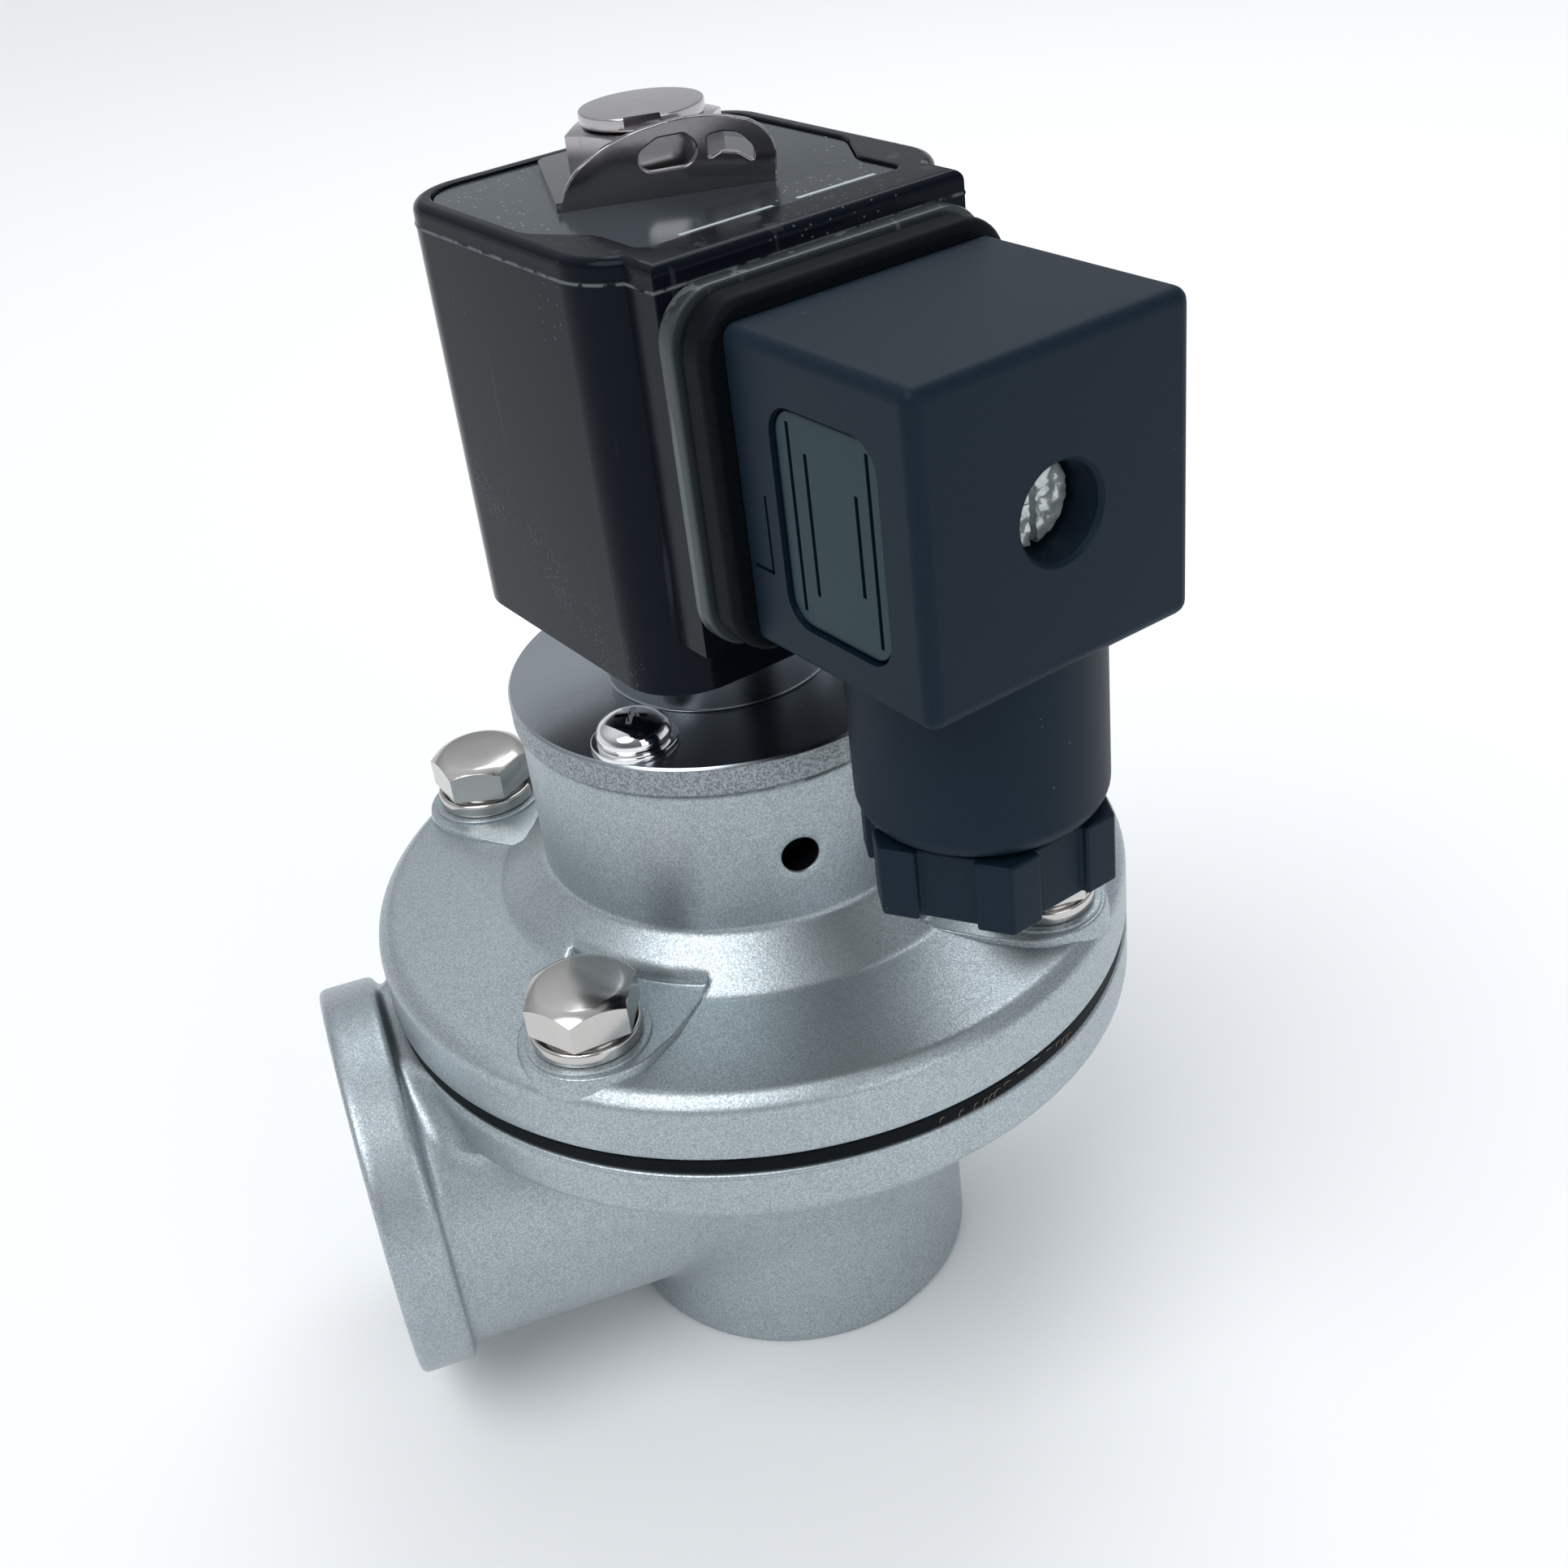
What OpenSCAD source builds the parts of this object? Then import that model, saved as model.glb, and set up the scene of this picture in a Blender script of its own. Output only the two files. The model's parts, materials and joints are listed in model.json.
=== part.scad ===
// Right-angle diaphragm pulse valve with a solenoid pilot, in millimetres.
// Origin: centre of the outlet port's end face. +Z runs up the valve axis, the inlet port faces -X.

/* [Ports] */
// Wall radius of the pipe thread in both ports
port_thread_r = 15.15; // [12:0.05:16]
// Outer radius of the outlet and inlet bosses
port_boss_r = 20.5; // [19:0.1:22]
// Depth of the outlet thread
outlet_thread_len = 14; // [8:0.5:15]
// Depth of the inlet thread
inlet_thread_len = 18; // [10:0.5:22]
// Distance from the valve axis to the inlet port's end face
inlet_reach = 48.5; // [47:0.5:60]
// Height of the inlet port's axis above the outlet face
inlet_axis_z = 26.5; // [26:0.1:27]
// Outer radius of the collar at the inlet's end
inlet_collar_r = 22; // [21:0.1:24]
// Radius of the flow passages behind the threads
passage_r = 12.5; // [8:0.1:12.5]

/* [Body] */
// Height of the face where the body meets the diaphragm
parting_z = 46.5; // [46:0.1:50]
// Radius of the round flanges
flange_r = 41; // [40.5:0.1:44]
// Thickness of the body flange
body_flange_t = 5.5; // [4:0.1:6.5]
// Wall of the bowl outside the chamber, where it meets the flange
bowl_top_wall = 4.5; // [3:0.1:6]
// Wall of the funnel part of the bowl, measured level
bowl_wall = 5.5; // [4:0.1:6.5]
// Wall of the standpipe that carries the seat
seat_wall = 2.5; // [2:0.1:3]
// Depth of the seat lip below the parting face
seat_drop = 2.5; // [2:0.1:3]

/* [Diaphragm] */
// Thickness of the rubber diaphragm
diaphragm_t = 2; // [1.5:0.1:2.5]
// Depth that the rubber rim lies back from the flanges' edge
rim_inset = 0.4; // [0:0.1:1]
// Lift of the diaphragm's centre
disc_lift = 6; // [3:0.1:6]
// Radius of the metal disc on top of the diaphragm
upper_disc_r = 19; // [17:0.1:20]
// Thickness of the metal disc on top
upper_disc_t = 2.5; // [1.5:0.1:2.5]
// Radius of the seal disc's backing under the diaphragm
lower_disc_r = 10.5; // [8:0.1:11]
// Thickness of the backing disc underneath
lower_disc_t = 2; // [1.5:0.1:3]
// Shank radius of the rivet
rivet_r = 2.5; // [2:0.1:3.5]
// Head radius of the rivet
rivet_head_r = 4.6; // [4:0.1:6]
// Height of the rivet's two heads
rivet_head_h = 1.2; // [0.8:0.1:1.5]
// Distance of the bleed eyelet from the axis
bleed_at_r = 17; // [16.8:0.1:17.2]

/* [Bonnet] */
// Height of the bonnet's straight side wall
bonnet_side_h = 5.8; // [5:0.1:6.5]
// Height of the bonnet's flat ring above its base, at its inner edge
bonnet_ring_h = 8; // [7.8:0.1:8.2]
// Radius where the flat ring meets the cone
cone_foot_r = 26.8; // [26:0.1:28]
// Height of the cone above the flat ring
cone_h = 3.7; // [3:0.1:5]
// Radius of the round turret
turret_r = 21.5; // [20.5:0.1:23]
// Height of the turret's top face
turret_top_z = 76.9; // [75:0.1:80]
// Height of the chamber roof
well_roof_z = 57.6; // [57:0.1:60]
// Radius of the well in the chamber roof
well_r = 20.6; // [20.4:0.1:21]
// Radius of the vent cavity in the turret
vent_r = 9.5; // [8:0.1:9.8]
// Height of the vent cavity's floor
vent_floor_z = 64.5; // [63:0.1:65.5]
// Radius of the exhaust hole in the turret wall
exhaust_r = 1.85; // [1:0.05:2.5]
// Height of the exhaust hole
exhaust_z = 68.3; // [68:0.1:70]

/* [Flange bolts] */
// Distance from the flanges' edge to the bolt circle
bolt_inset = 7; // [6.5:0.1:7.5]
// Wall between the bolt holes and the chamber
bolt_wall = 2.5; // [2:0.1:4]
// Nominal radius of the bolt thread
bolt_r = 3; // [2.5:0.1:3]
// Width of the bolt heads across flats
bolt_af = 10; // [8:0.1:10]
// Height of the bolt heads
bolt_head_h = 4; // [3:0.1:5]
// Length of the bolts under the head
bolt_len = 16; // [15:0.5:17]
// Thickness of the spring washers
spring_washer_t = 1.6; // [1:0.1:2]
// Half width of the flat pads under the bolts
pad_half_w = 7.9; // [7:0.1:8.5]
// Distance from the axis to the pads' inner wall
pad_inner_r = 22.8; // [22.6:0.1:24]
// Rise of the pads above the flat ring
pad_rise = 0.1; // [0:0.1:1]
// Rise of the round spot faces above the pads
spot_rise = 0.4; // [0.2:0.1:0.8]
// Radius of the round spot faces
spot_r = 6.2; // [6:0.1:7]

/* [Pilot] */
// Radius of the pilot plate
plate_r = 22; // [21.7:0.1:23]
// Thickness of the pilot plate
plate_t = 3.3; // [3:0.1:5]
// Radius of the hub on the pilot plate
hub_r = 11.5; // [9:0.1:12]
// Height of the hub above the plate
hub_h = 9.2; // [6:0.1:12]
// Distance of the pilot screws from the axis
pilot_screw_at_r = 17.7; // [17.2:0.1:18]
// Nominal radius of the pilot screws' thread
pilot_screw_r = 2; // [1.5:0.1:2]
// Radius of the pilot screws' domed heads
pilot_head_r = 3.7; // [3.4:0.1:4]
// Height of the domed heads
pilot_head_h = 2.5; // [2:0.1:2.8]
// Length of the pilot screws under the head
pilot_screw_len = 12; // [10:0.5:13]
// Thickness of the washers under the pilot screws
pilot_washer_t = 0.6; // [0.4:0.1:1]
// Bore radius of the pilot nozzle
nozzle_bore_r = 1; // [0.5:0.1:1.2]
// Height of the nozzle's tip
nozzle_tip_z = 76; // [75:0.1:76]
// Outer radius of the core tube
tube_r = 7; // [6.8:0.1:7.2]
// Wall of the core tube
tube_wall = 0.7; // [0.4:0.05:0.9]
// Radius of the core tube's foot flange
tube_flange_r = 12.4; // [12.2:0.1:13]
// Thickness of the core tube's foot flange
tube_flange_t = 1.8; // [1.2:0.1:2]
// Lift of the plunger
plunger_lift = 1.8; // [1:0.1:2.5]
// Length of the plunger
plunger_len = 28; // [24:0.5:30]
// Radius of the threaded stud on the fixed core
stud_r = 4; // [3:0.1:4.5]

/* [Coil] */
// Turn of the coil about the valve axis, from the front towards +X
coil_turn = 17; // [0:1:60]
// Height of the coil housing
coil_h = 39.4; // [38:0.1:44]
// Half width of the coil housing
coil_half_w = 18.7; // [18.4:0.1:20]
// Reach of the coil housing behind the axis
coil_back = 15.5; // [15:0.1:17]
// Reach of the coil's main block in front of the axis
coil_front = 21.3; // [21:0.1:22]
// Corner radius of the coil housing
coil_corner_r = 6.5; // [4:0.1:7]
// Half width of the block that carries the terminals
terminal_half_w = 15.8; // [15:0.1:17]
// Reach of the terminal block in front of the axis
terminal_front = 24.4; // [23.5:0.1:26]
// Height of the terminal block's underside above the coil's bottom
terminal_rise = 5.3; // [4:0.1:6]
// Depth of the recess that holds the label
label_recess = 0.8; // [0.6:0.1:1]
// Thickness of the label
label_t = 0.5; // [0.3:0.1:0.5]
// Width of the rim around the label
label_rim = 1.8; // [1.5:0.1:3]
// Radius of the bobbin's flanges
bobbin_flange_r = 13; // [12:0.1:13.4]
// Thickness of the yoke strap
yoke_t = 2; // [1.5:0.1:2.2]
// Half width of the yoke across the coil
yoke_half_w = 16.6; // [16:0.1:16.9]
// Half depth of the yoke strap
yoke_half_d = 9; // [8:0.1:10]

/* [Coil nut and clip] */
// Width of the coil nut across flats
coil_nut_af = 12.5; // [11:0.1:14]
// Height of the nut's hexagon
coil_nut_h = 4.2; // [4.2:0.1:6]
// Radius of the raised disc on the nut
coil_nut_disc_r = 5.6; // [5:0.1:6]
// Height of the raised disc on the nut
coil_nut_disc_h = 1.2; // [0.8:0.1:2]
// Thickness of the clip's sheet
clip_t = 0.8; // [0.5:0.1:1]
// Half width of the clip
clip_half_w = 9.5; // [9:0.1:11]
// Distance of the clip's upright tab from the axis
clip_tab_at = 9.5; // [9.2:0.1:11]
// Height of the clip's upright tab
clip_tab_h = 7; // [5:0.1:9]
// Turn of the clip about the valve axis
clip_turn = -10; // [-30:1:30]

/* [Connector] */
// Half width of the connector housing
plug_half_w = 13.75; // [13.5:0.05:14]
// Height of the connector housing
plug_h = 27.4; // [27:0.1:28]
// Depth of the connector housing
plug_depth = 22.6; // [21:0.1:26]
// Height of the connector's centre above the coil's bottom
plug_centre_h = 21.8; // [21.5:0.1:22.5]
// Wall of the connector housing
plug_wall = 2; // [1.5:0.1:2.1]
// Corner radius of the connector housing
plug_corner_r = 1.5; // [0.5:0.1:3]
// Thickness of the moulded terminal base
base_t = 2; // [1.5:0.1:3]
// Half width of the moulded terminal base
base_half_w = 16.2; // [15.8:0.1:17]
// Thickness of the rubber gasket
gasket_t = 3.5; // [2:0.1:4]
// Half width of the rubber gasket
gasket_half_w = 15.7; // [15:0.1:16]
// Corner radius of the base and the gasket
gasket_corner_r = 4.5; // [2:0.1:6]
// Half distance between the two line contacts
contact_at = 9; // [8.9:0.05:9.1]
// Distance of the earth contact below the centre
earth_drop = 8.2; // [8:0.1:8.4]
// Width of the contact blades
blade_w = 6.3; // [4.8:0.1:6.4]
// Thickness of the contact blades
blade_t = 0.8; // [0.5:0.1:0.9]
// Reach of the blades beyond the gasket
blade_reach = 5.7; // [5:0.1:6.5]
// Radius of the recess for the connector screw
screw_recess_r = 4; // [3.5:0.1:4.2]
// Depth of the recess for the connector screw
screw_recess_depth = 7.5; // [7:0.1:8]
// Nominal radius of the connector screw
connector_screw_r = 1.5; // [1:0.1:1.5]
// Radius of the connector screw's head
connector_head_r = 3; // [2.8:0.1:3.4]
// Height of the connector screw's head
connector_head_h = 2.2; // [1.5:0.1:3]
// Thickness of the seal ring under the connector screw's head
screw_seal_t = 0.6; // [0.4:0.1:1]
// Depth of the screw's thread in the coil
screw_engagement = 5; // [4:0.1:6]

/* [Cable gland] */
// Outer radius of the gland barrel
barrel_r = 11.1; // [10.8:0.1:11.3]
// Length of the gland barrel below the housing
barrel_len = 16.4; // [15:0.1:18]
// Bore radius of the gland barrel
barrel_bore_r = 8.9; // [8.5:0.1:9]
// Radius of the barrel's rounded lower edge
barrel_round = 2.4; // [1:0.1:2.8]
// Height of the gland nut's head
gland_nut_h = 6.9; // [5:0.1:7]
// Width of the gland nut across its flats
gland_nut_af = 20.5; // [19.5:0.1:22]
// Depth of the flats between the gland nut's corner lugs
gland_flat_depth = 0.7; // [0.3:0.1:1]
// Length of each flat between two lugs
gland_flat_len = 5.2; // [4:0.1:7]
// Bore radius of the gland nut, where the cable goes in
cable_r = 5; // [3:0.1:5.5]
// Length of the gland nut's threaded shank
gland_shank_len = 6.3; // [5:0.1:7]
// Thickness of the ring between nut and grommet
gland_ring_t = 1.2; // [0.8:0.1:1.5]
// Height of the rubber grommet
grommet_h = 6.3; // [5:0.1:6.4]

/* [Clearances] */
// Radial clearance of a screw in its tapped hole
thread_gap = 0.05; // [0.03:0.01:0.08]
// Radial clearance of a bolt or screw passing through
pass_gap = 0.3; // [0.15:0.05:0.5]
// Radial clearance of running fits
run_gap = 0.08; // [0.05:0.01:0.1]
// Clearance round parts that sit still in a pocket
seat_gap = 0.05; // [0.03:0.01:0.1]
// Clearance round moulded parts that slip into each other
slip_gap = 0.15; // [0.1:0.01:0.2]
// Small gap that keeps two parts from touching end on
end_gap = 0.1; // [0.1:0.01:0.2]

/* [Hidden] */
$fn = 64;
// Overshoot of cutting tools
over = 1;

// Body
bolt_circle_r = flange_r - bolt_inset;
chamber_r = bolt_circle_r - bolt_r - bolt_wall;
bowl_r = chamber_r + bowl_top_wall;
body_flange_z = parting_z - body_flange_t;
standpipe_r = passage_r + seat_wall;
seat_z = parting_z - seat_drop;
funnel_low_z = body_flange_z - (bowl_r - port_boss_r);
chamber_foot_drop = 1.5;
chamber_foot_gap = 2.5;
chamber_floor_z = funnel_low_z - chamber_foot_drop;
chamber_low_r = standpipe_r + chamber_foot_gap;
chamber_cone_top_z = body_flange_z + bowl_wall - (bowl_r - chamber_r);
collar_gap = 1.3;
collar_inner = flange_r + collar_gap;
edge_c = 0.8;

// Diaphragm
diaphragm_r = flange_r - rim_inset;
web_z = seat_z;
web_top_z = web_z + diaphragm_t;
diaphragm_top_z = parting_z + diaphragm_t;
fold_margin = 0.8;
web_r = upper_disc_r + fold_margin;
fold_r = chamber_r - fold_margin;
disc_top_z = web_top_z + upper_disc_t;
bleed_r = 0.9;
bleed_bore_r = 0.4;
bleed_flange_r = 1.4;
bleed_flange_h = 0.4;
rivet_slope = 0.6;
main_spring_wire_r = 0.6;
main_spring_turns = 3;
main_spring_gap = 2.4;
main_spring_spread = 7;
main_spring_low_r = rivet_head_r + main_spring_gap;
main_spring_high_r = main_spring_low_r + main_spring_spread;

// Bonnet
bonnet_z = diaphragm_top_z;
ring_z = bonnet_z + bonnet_ring_h;
side_top_z = bonnet_z + bonnet_side_h;
pad_z = ring_z + pad_rise;
spot_z = pad_z + spot_rise;
cone_top_z = ring_z + cone_h;
rim_slope_w = 1.5;
rim_slope_h = 1.3;
turret_blend = 0.6;
chamber_roof_drop = 2;
chamber_roof_z = bonnet_z + bonnet_side_h - chamber_roof_drop;
roof_bevel = 1;
pad_edge_gap = 0.7;
column_r = 5;
column_h = 6;
column_top_z = vent_floor_z + column_h;
nozzle_shank_r = 3;
nozzle_socket_rise = 1.5;
nozzle_socket_z = vent_floor_z + nozzle_socket_rise;
nozzle_head_af = 8;
nozzle_head_h = 2;
nozzle_foot_wall = 2.2;
nozzle_tip_wall = 0.6;
passage_pilot_r = 1.5;
oring_r = 0.7;
oring_at_r = 10.95;
oring_groove_w = 1.6;
oring_groove_h = 1.4;
exhaust_angle = 270;
tap_spare = 1.5;
bolt_angles = [45, 135, 225, 315];
bolt_head_turns = [8, 27, 14, 40];
bolt_under_head_z = spot_z + spring_washer_t;
spring_washer_r = 5.5;
spring_washer_gap = 1;
spring_washer_turn = 200;
washer_gap = 0.1;
head_turn_down = 0.6;
head_turn_in = 0.3;

// Pilot
plate_z = turret_top_z;
plate_top_z = plate_z + plate_t;
hub_top_z = plate_top_z + hub_h;
plate_chamfer = 1;
hub_chamfer = 0.5;
plate_hole_gap = 0.2;
pilot_head_side_h = 0.7;
pilot_screw_angles = [45, 225];
pilot_under_head_z = plate_top_z + pilot_washer_t;
pilot_washer_r = 4.3;
coil_washer_t = 0.8;
coil_washer_r = 10.8;
tube_bore_r = tube_r - tube_wall;
plunger_r = tube_bore_r - run_gap;
seal_stand = 0.2;
plunger_seal_r = 3.2;
plunger_seal_t = 2.2;
plunger_z = nozzle_tip_z + seal_stand;
plunger_top_z = plunger_z + plunger_len;
spring_pocket_r = 3;
spring_pocket_depth = 10;
plunger_spring_r = 2.3;
plunger_spring_wire_r = 0.3;
plunger_spring_turns = 7;
fixed_core_z = plunger_top_z + plunger_lift;
shading_in_r = 4.2;
shading_out_r = 5.2;
shading_h = 2;
shading_gap = 0.02;
core_gap = 0.02;

// Coil
coil_z = hub_top_z + coil_washer_t;
coil_top_z = coil_z + coil_h;
coil_bore_r = tube_r + slip_gap;
label_floor_z = coil_top_z - label_recess;
label_top_z = label_floor_z + label_t;
tube_top_drop = 0.4;
tube_top_z = label_floor_z - tube_top_drop;
yoke_cover = 3;
yoke_low_z = coil_z + yoke_cover;
yoke_high_z = coil_top_z - yoke_cover;
bobbin_low_z = yoke_low_z + yoke_t + seat_gap;
bobbin_high_z = yoke_high_z - yoke_t - seat_gap;
bobbin_wall = 1.1;
bobbin_tube_r = coil_bore_r + seat_gap + bobbin_wall;
bobbin_flange_t = 1.2;
flange_overlap = 0.3;
winding_margin = 0.5;
winding_r = bobbin_flange_r - winding_margin;

// Coil nut and clip
clip_z = label_top_z;
clip_hole_r = stud_r + pass_gap;
coil_nut_z = clip_z + clip_t;
stud_end_gap = 0.2;
stud_top_z = coil_nut_z + coil_nut_h - stud_end_gap;
clip_tail = 8.5;
clip_tail_taper = 5;
clip_shoulder = 1;
clip_window_r = 1.6;
clip_arch_r = clip_half_w * 1.2;

// Connector
plug_z = coil_z + plug_centre_h;
base_y = terminal_front;
gasket_y = base_y + base_t;
plug_y = gasket_y + gasket_t;
plug_front_y = plug_y + plug_depth;
base_half_h = 15.7;
gasket_half_h = 15.3;
insert_back_y = plug_y + 2 * end_gap;
insert_depth = 10.4;
insert_front_y = insert_back_y + insert_depth;
insert_half_w = plug_half_w - plug_wall - slip_gap;
insert_half_h = plug_h / 2 - plug_wall - slip_gap;
blade_root = 5.4;
clamp_t = 3.6;
clamp_w = 8.5;
clamp_depth = 7;
clamp_back_y = insert_front_y - clamp_depth;
clamp_screw_r = 1;
clamp_screw_depth = 3.6;
clamp_head_r = 1.6;
clamp_head_h = 1.2;
clamp_slot_w = 0.6;
clamp_tip_gap = 0.2;
screw_seat_y = plug_front_y - screw_recess_depth;
screw_boss_wall = 1.4;
screw_boss_r = screw_recess_r + screw_boss_wall;
screw_boss_gap = 0.4;
screw_boss_end_y = insert_front_y + screw_boss_gap;
screw_hole_gap = 0.2;
screw_hole_r = connector_screw_r + screw_hole_gap;
screw_slot_w = 0.8;
screw_tip_gap = 0.5;
seal_margin = 0.4;

// Gland
gland_at = plug_y + barrel_r + end_gap;
plug_low_z = plug_z - plug_h / 2;
barrel_low_z = plug_low_z - barrel_len;
gland_shank_r = barrel_bore_r - run_gap;
gland_nut_top_z = barrel_low_z - end_gap;
gland_nut_low_z = gland_nut_top_z - gland_nut_h;
gland_ring_z = gland_nut_top_z + gland_shank_len;
grommet_z = gland_ring_z + gland_ring_t;
grommet_r = barrel_bore_r - slip_gap;
grommet_squeeze = 0.7;
grommet_bore_r = cable_r - grommet_squeeze;
gland_ring_lip = 0.5;
grommet_top_gap = 0.2;
barrel_roof_z = grommet_z + grommet_h + grommet_top_gap;
cable_way_r = 6;
gland_corner_r = gland_nut_af / 2 / cos(30);

// A block with its four upright corners rounded, centred on x and y
module rounded_rect(w, d, r) {
    square([w - 2 * r, d], center = true);
    square([w, d - 2 * r], center = true);
    for (sx = [-1, 1], sy = [-1, 1])
        translate([sx * (w / 2 - r), sy * (d / 2 - r)]) circle(r = r);
}

// A ring or tube standing on z
module tube(z, h, r_out, r_in) {
    translate([0, 0, z]) difference() {
        cylinder(r = r_out, h = h);
        translate([0, 0, -over]) cylinder(r = r_in, h = h + 2 * over);
    }
}

// A hexagonal head with its top corners turned down
module hex_head(z, h, af) {
    corner_r = af / 2 / cos(30);
    translate([0, 0, z]) intersection() {
        cylinder(r = corner_r, h = h, $fn = 6);
        rotate_extrude() polygon([[0, 0], [corner_r, 0], [corner_r, h - head_turn_down],
            [af / 2 - head_turn_in, h], [0, h]]);
    }
}

// Copies of the children round the valve axis, at a radius
module around(angles, r) {
    for (a = angles) rotate([0, 0, a]) translate([r, 0, 0]) children();
}

// Everything that turns with the coil is drawn with its front towards -Y
module coil_frame() {
    rotate([0, 0, coil_turn]) children();
}

// Lays a drawing of width and height on the connector's face; depth grows away from the coil
module on_face(y, z) {
    translate([0, -y, z]) rotate([90, 0, 0]) children();
}

// A wire spring standing on z, whose radius may change over its height
function spring_points(r_low, r_high, z, h, turns, wire_r, steps, sides) = [
    for (i = [0 : steps])
        let (t = i / steps, a = 360 * turns * t, r = r_low + (r_high - r_low) * t)
            for (k = [0 : sides - 1])
                let (b = 360 * k / sides, rr = r + wire_r * cos(b))
                    [rr * cos(a), rr * sin(a), z + wire_r + (h - 2 * wire_r) * t + wire_r * sin(b)]];

module spring(r_low, r_high, z, h, turns, wire_r) {
    steps = ceil(turns * 20);
    sides = 6;
    sides_faces = [for (i = [0 : steps - 1], k = [0 : sides - 1])
        let (n = (k + 1) % sides)
            [i * sides + k, (i + 1) * sides + k, (i + 1) * sides + n, i * sides + n]];
    low_end = [for (k = [0 : sides - 1]) k];
    high_end = [for (k = [sides - 1 : -1 : 0]) steps * sides + k];
    polyhedron(points = spring_points(r_low, r_high, z, h, turns, wire_r, steps, sides),
        faces = concat([low_end], sides_faces, [high_end]));
}

// Cast body with both ports, the bowl and the standpipe that carries the seat
module valve_body() {
    color("silver") {
        difference() {
            union() {
                rotate_extrude() polygon([[0, 0], [port_boss_r - edge_c, 0], [port_boss_r, edge_c],
                    [port_boss_r, funnel_low_z], [bowl_r, body_flange_z], [flange_r - edge_c, body_flange_z],
                    [flange_r, body_flange_z + edge_c], [flange_r, parting_z], [0, parting_z]]);
                difference() {
                    inlet_bar(0, inlet_reach, port_boss_r);
                    translate([-collar_inner, -flange_r, parting_z])
                        cube([collar_inner + over, 2 * flange_r, port_boss_r]);
                }
                inlet_bar(collar_inner, inlet_reach, inlet_collar_r);
            }
            rotate_extrude() polygon([[0, seat_z], [standpipe_r, seat_z], [standpipe_r, chamber_floor_z],
                [chamber_low_r, chamber_floor_z],
                [chamber_low_r, chamber_cone_top_z - (chamber_r - chamber_low_r)],
                [chamber_r, chamber_cone_top_z], [chamber_r, parting_z + over], [0, parting_z + over]]);
            translate([0, 0, -over]) cylinder(r = port_thread_r, h = outlet_thread_len + over);
            cylinder(r = passage_r, h = parting_z);
            inlet_bar(inlet_reach - inlet_thread_len, inlet_reach + over, port_thread_r);
            inlet_bar(standpipe_r - over, inlet_reach, passage_r);
            around(bolt_angles, bolt_circle_r) cylinder(r = bolt_r, h = parting_z + over);
        }
        tube(outlet_thread_len, seat_z - outlet_thread_len, standpipe_r, passage_r);
    }
}

// A round bar along -X on the inlet's axis, between two distances from the valve axis
module inlet_bar(from, to, r) {
    translate([-to, 0, inlet_axis_z]) rotate([0, 90, 0]) cylinder(r = r, h = to - from);
}

// Rubber diaphragm: clamped rim, one fold and a flat web that lies on the seat
module main_diaphragm() {
    color("black") difference() {
        rotate_extrude() polygon([[0, web_z], [web_r, web_z], [fold_r, parting_z], [diaphragm_r, parting_z],
            [diaphragm_r, diaphragm_top_z], [fold_r, diaphragm_top_z], [web_r, web_top_z], [0, web_top_z]]);
        cylinder(r = rivet_r + seat_gap, h = diaphragm_top_z + over);
        around([0], bleed_at_r) cylinder(r = bleed_r + seat_gap, h = diaphragm_top_z + over);
        around(bolt_angles, bolt_circle_r) cylinder(r = bolt_r + pass_gap, h = diaphragm_top_z + over);
    }
}

// Metal disc on the diaphragm, with its two holes
module diaphragm_upper_disc() {
    color("lightsteelblue") difference() {
        tube(web_top_z, upper_disc_t, upper_disc_r, rivet_r + seat_gap);
        around([0], bleed_at_r) cylinder(r = bleed_r + seat_gap, h = disc_top_z + over);
    }
}

module diaphragm_lower_disc() {
    color("lightsteelblue") tube(web_z - lower_disc_t, lower_disc_t, lower_disc_r, rivet_r + seat_gap);
}

// Rivet that holds the discs and the web together
module diaphragm_rivet() {
    stack = upper_disc_t + diaphragm_t + lower_disc_t;
    color("gainsboro") rotate_extrude() polygon([[0, web_z - lower_disc_t - rivet_head_h],
        [rivet_head_r - rivet_slope, web_z - lower_disc_t - rivet_head_h], [rivet_head_r, web_z - lower_disc_t],
        [rivet_r, web_z - lower_disc_t], [rivet_r, web_z - lower_disc_t + stack],
        [rivet_head_r, disc_top_z], [rivet_head_r - rivet_slope, disc_top_z + rivet_head_h],
        [0, disc_top_z + rivet_head_h]]);
}

// Brass eyelet that lets the chamber above fill slowly
module bleed_eyelet() {
    low_z = web_z - bleed_flange_h;
    high_z = disc_top_z + bleed_flange_h;
    color("goldenrod") around([0], bleed_at_r) rotate_extrude() polygon([[bleed_bore_r, low_z],
        [bleed_flange_r, low_z], [bleed_flange_r, web_z], [bleed_r, web_z], [bleed_r, disc_top_z],
        [bleed_flange_r, disc_top_z], [bleed_flange_r, high_z], [bleed_bore_r, high_z]]);
}

// Conical spring between the disc and the chamber roof
module main_spring() {
    color("lightgray") spring(main_spring_low_r, main_spring_high_r, disc_top_z,
        well_roof_z - disc_top_z, main_spring_turns, main_spring_wire_r);
}

// Shape of a pad under a flange bolt, seen from above, with the bolt's centre at its radius
module pad_outline() {
    translate([bolt_circle_r, 0]) circle(r = pad_half_w);
    translate([pad_inner_r, -pad_half_w]) square([bolt_circle_r - pad_inner_r, 2 * pad_half_w]);
}

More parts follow.
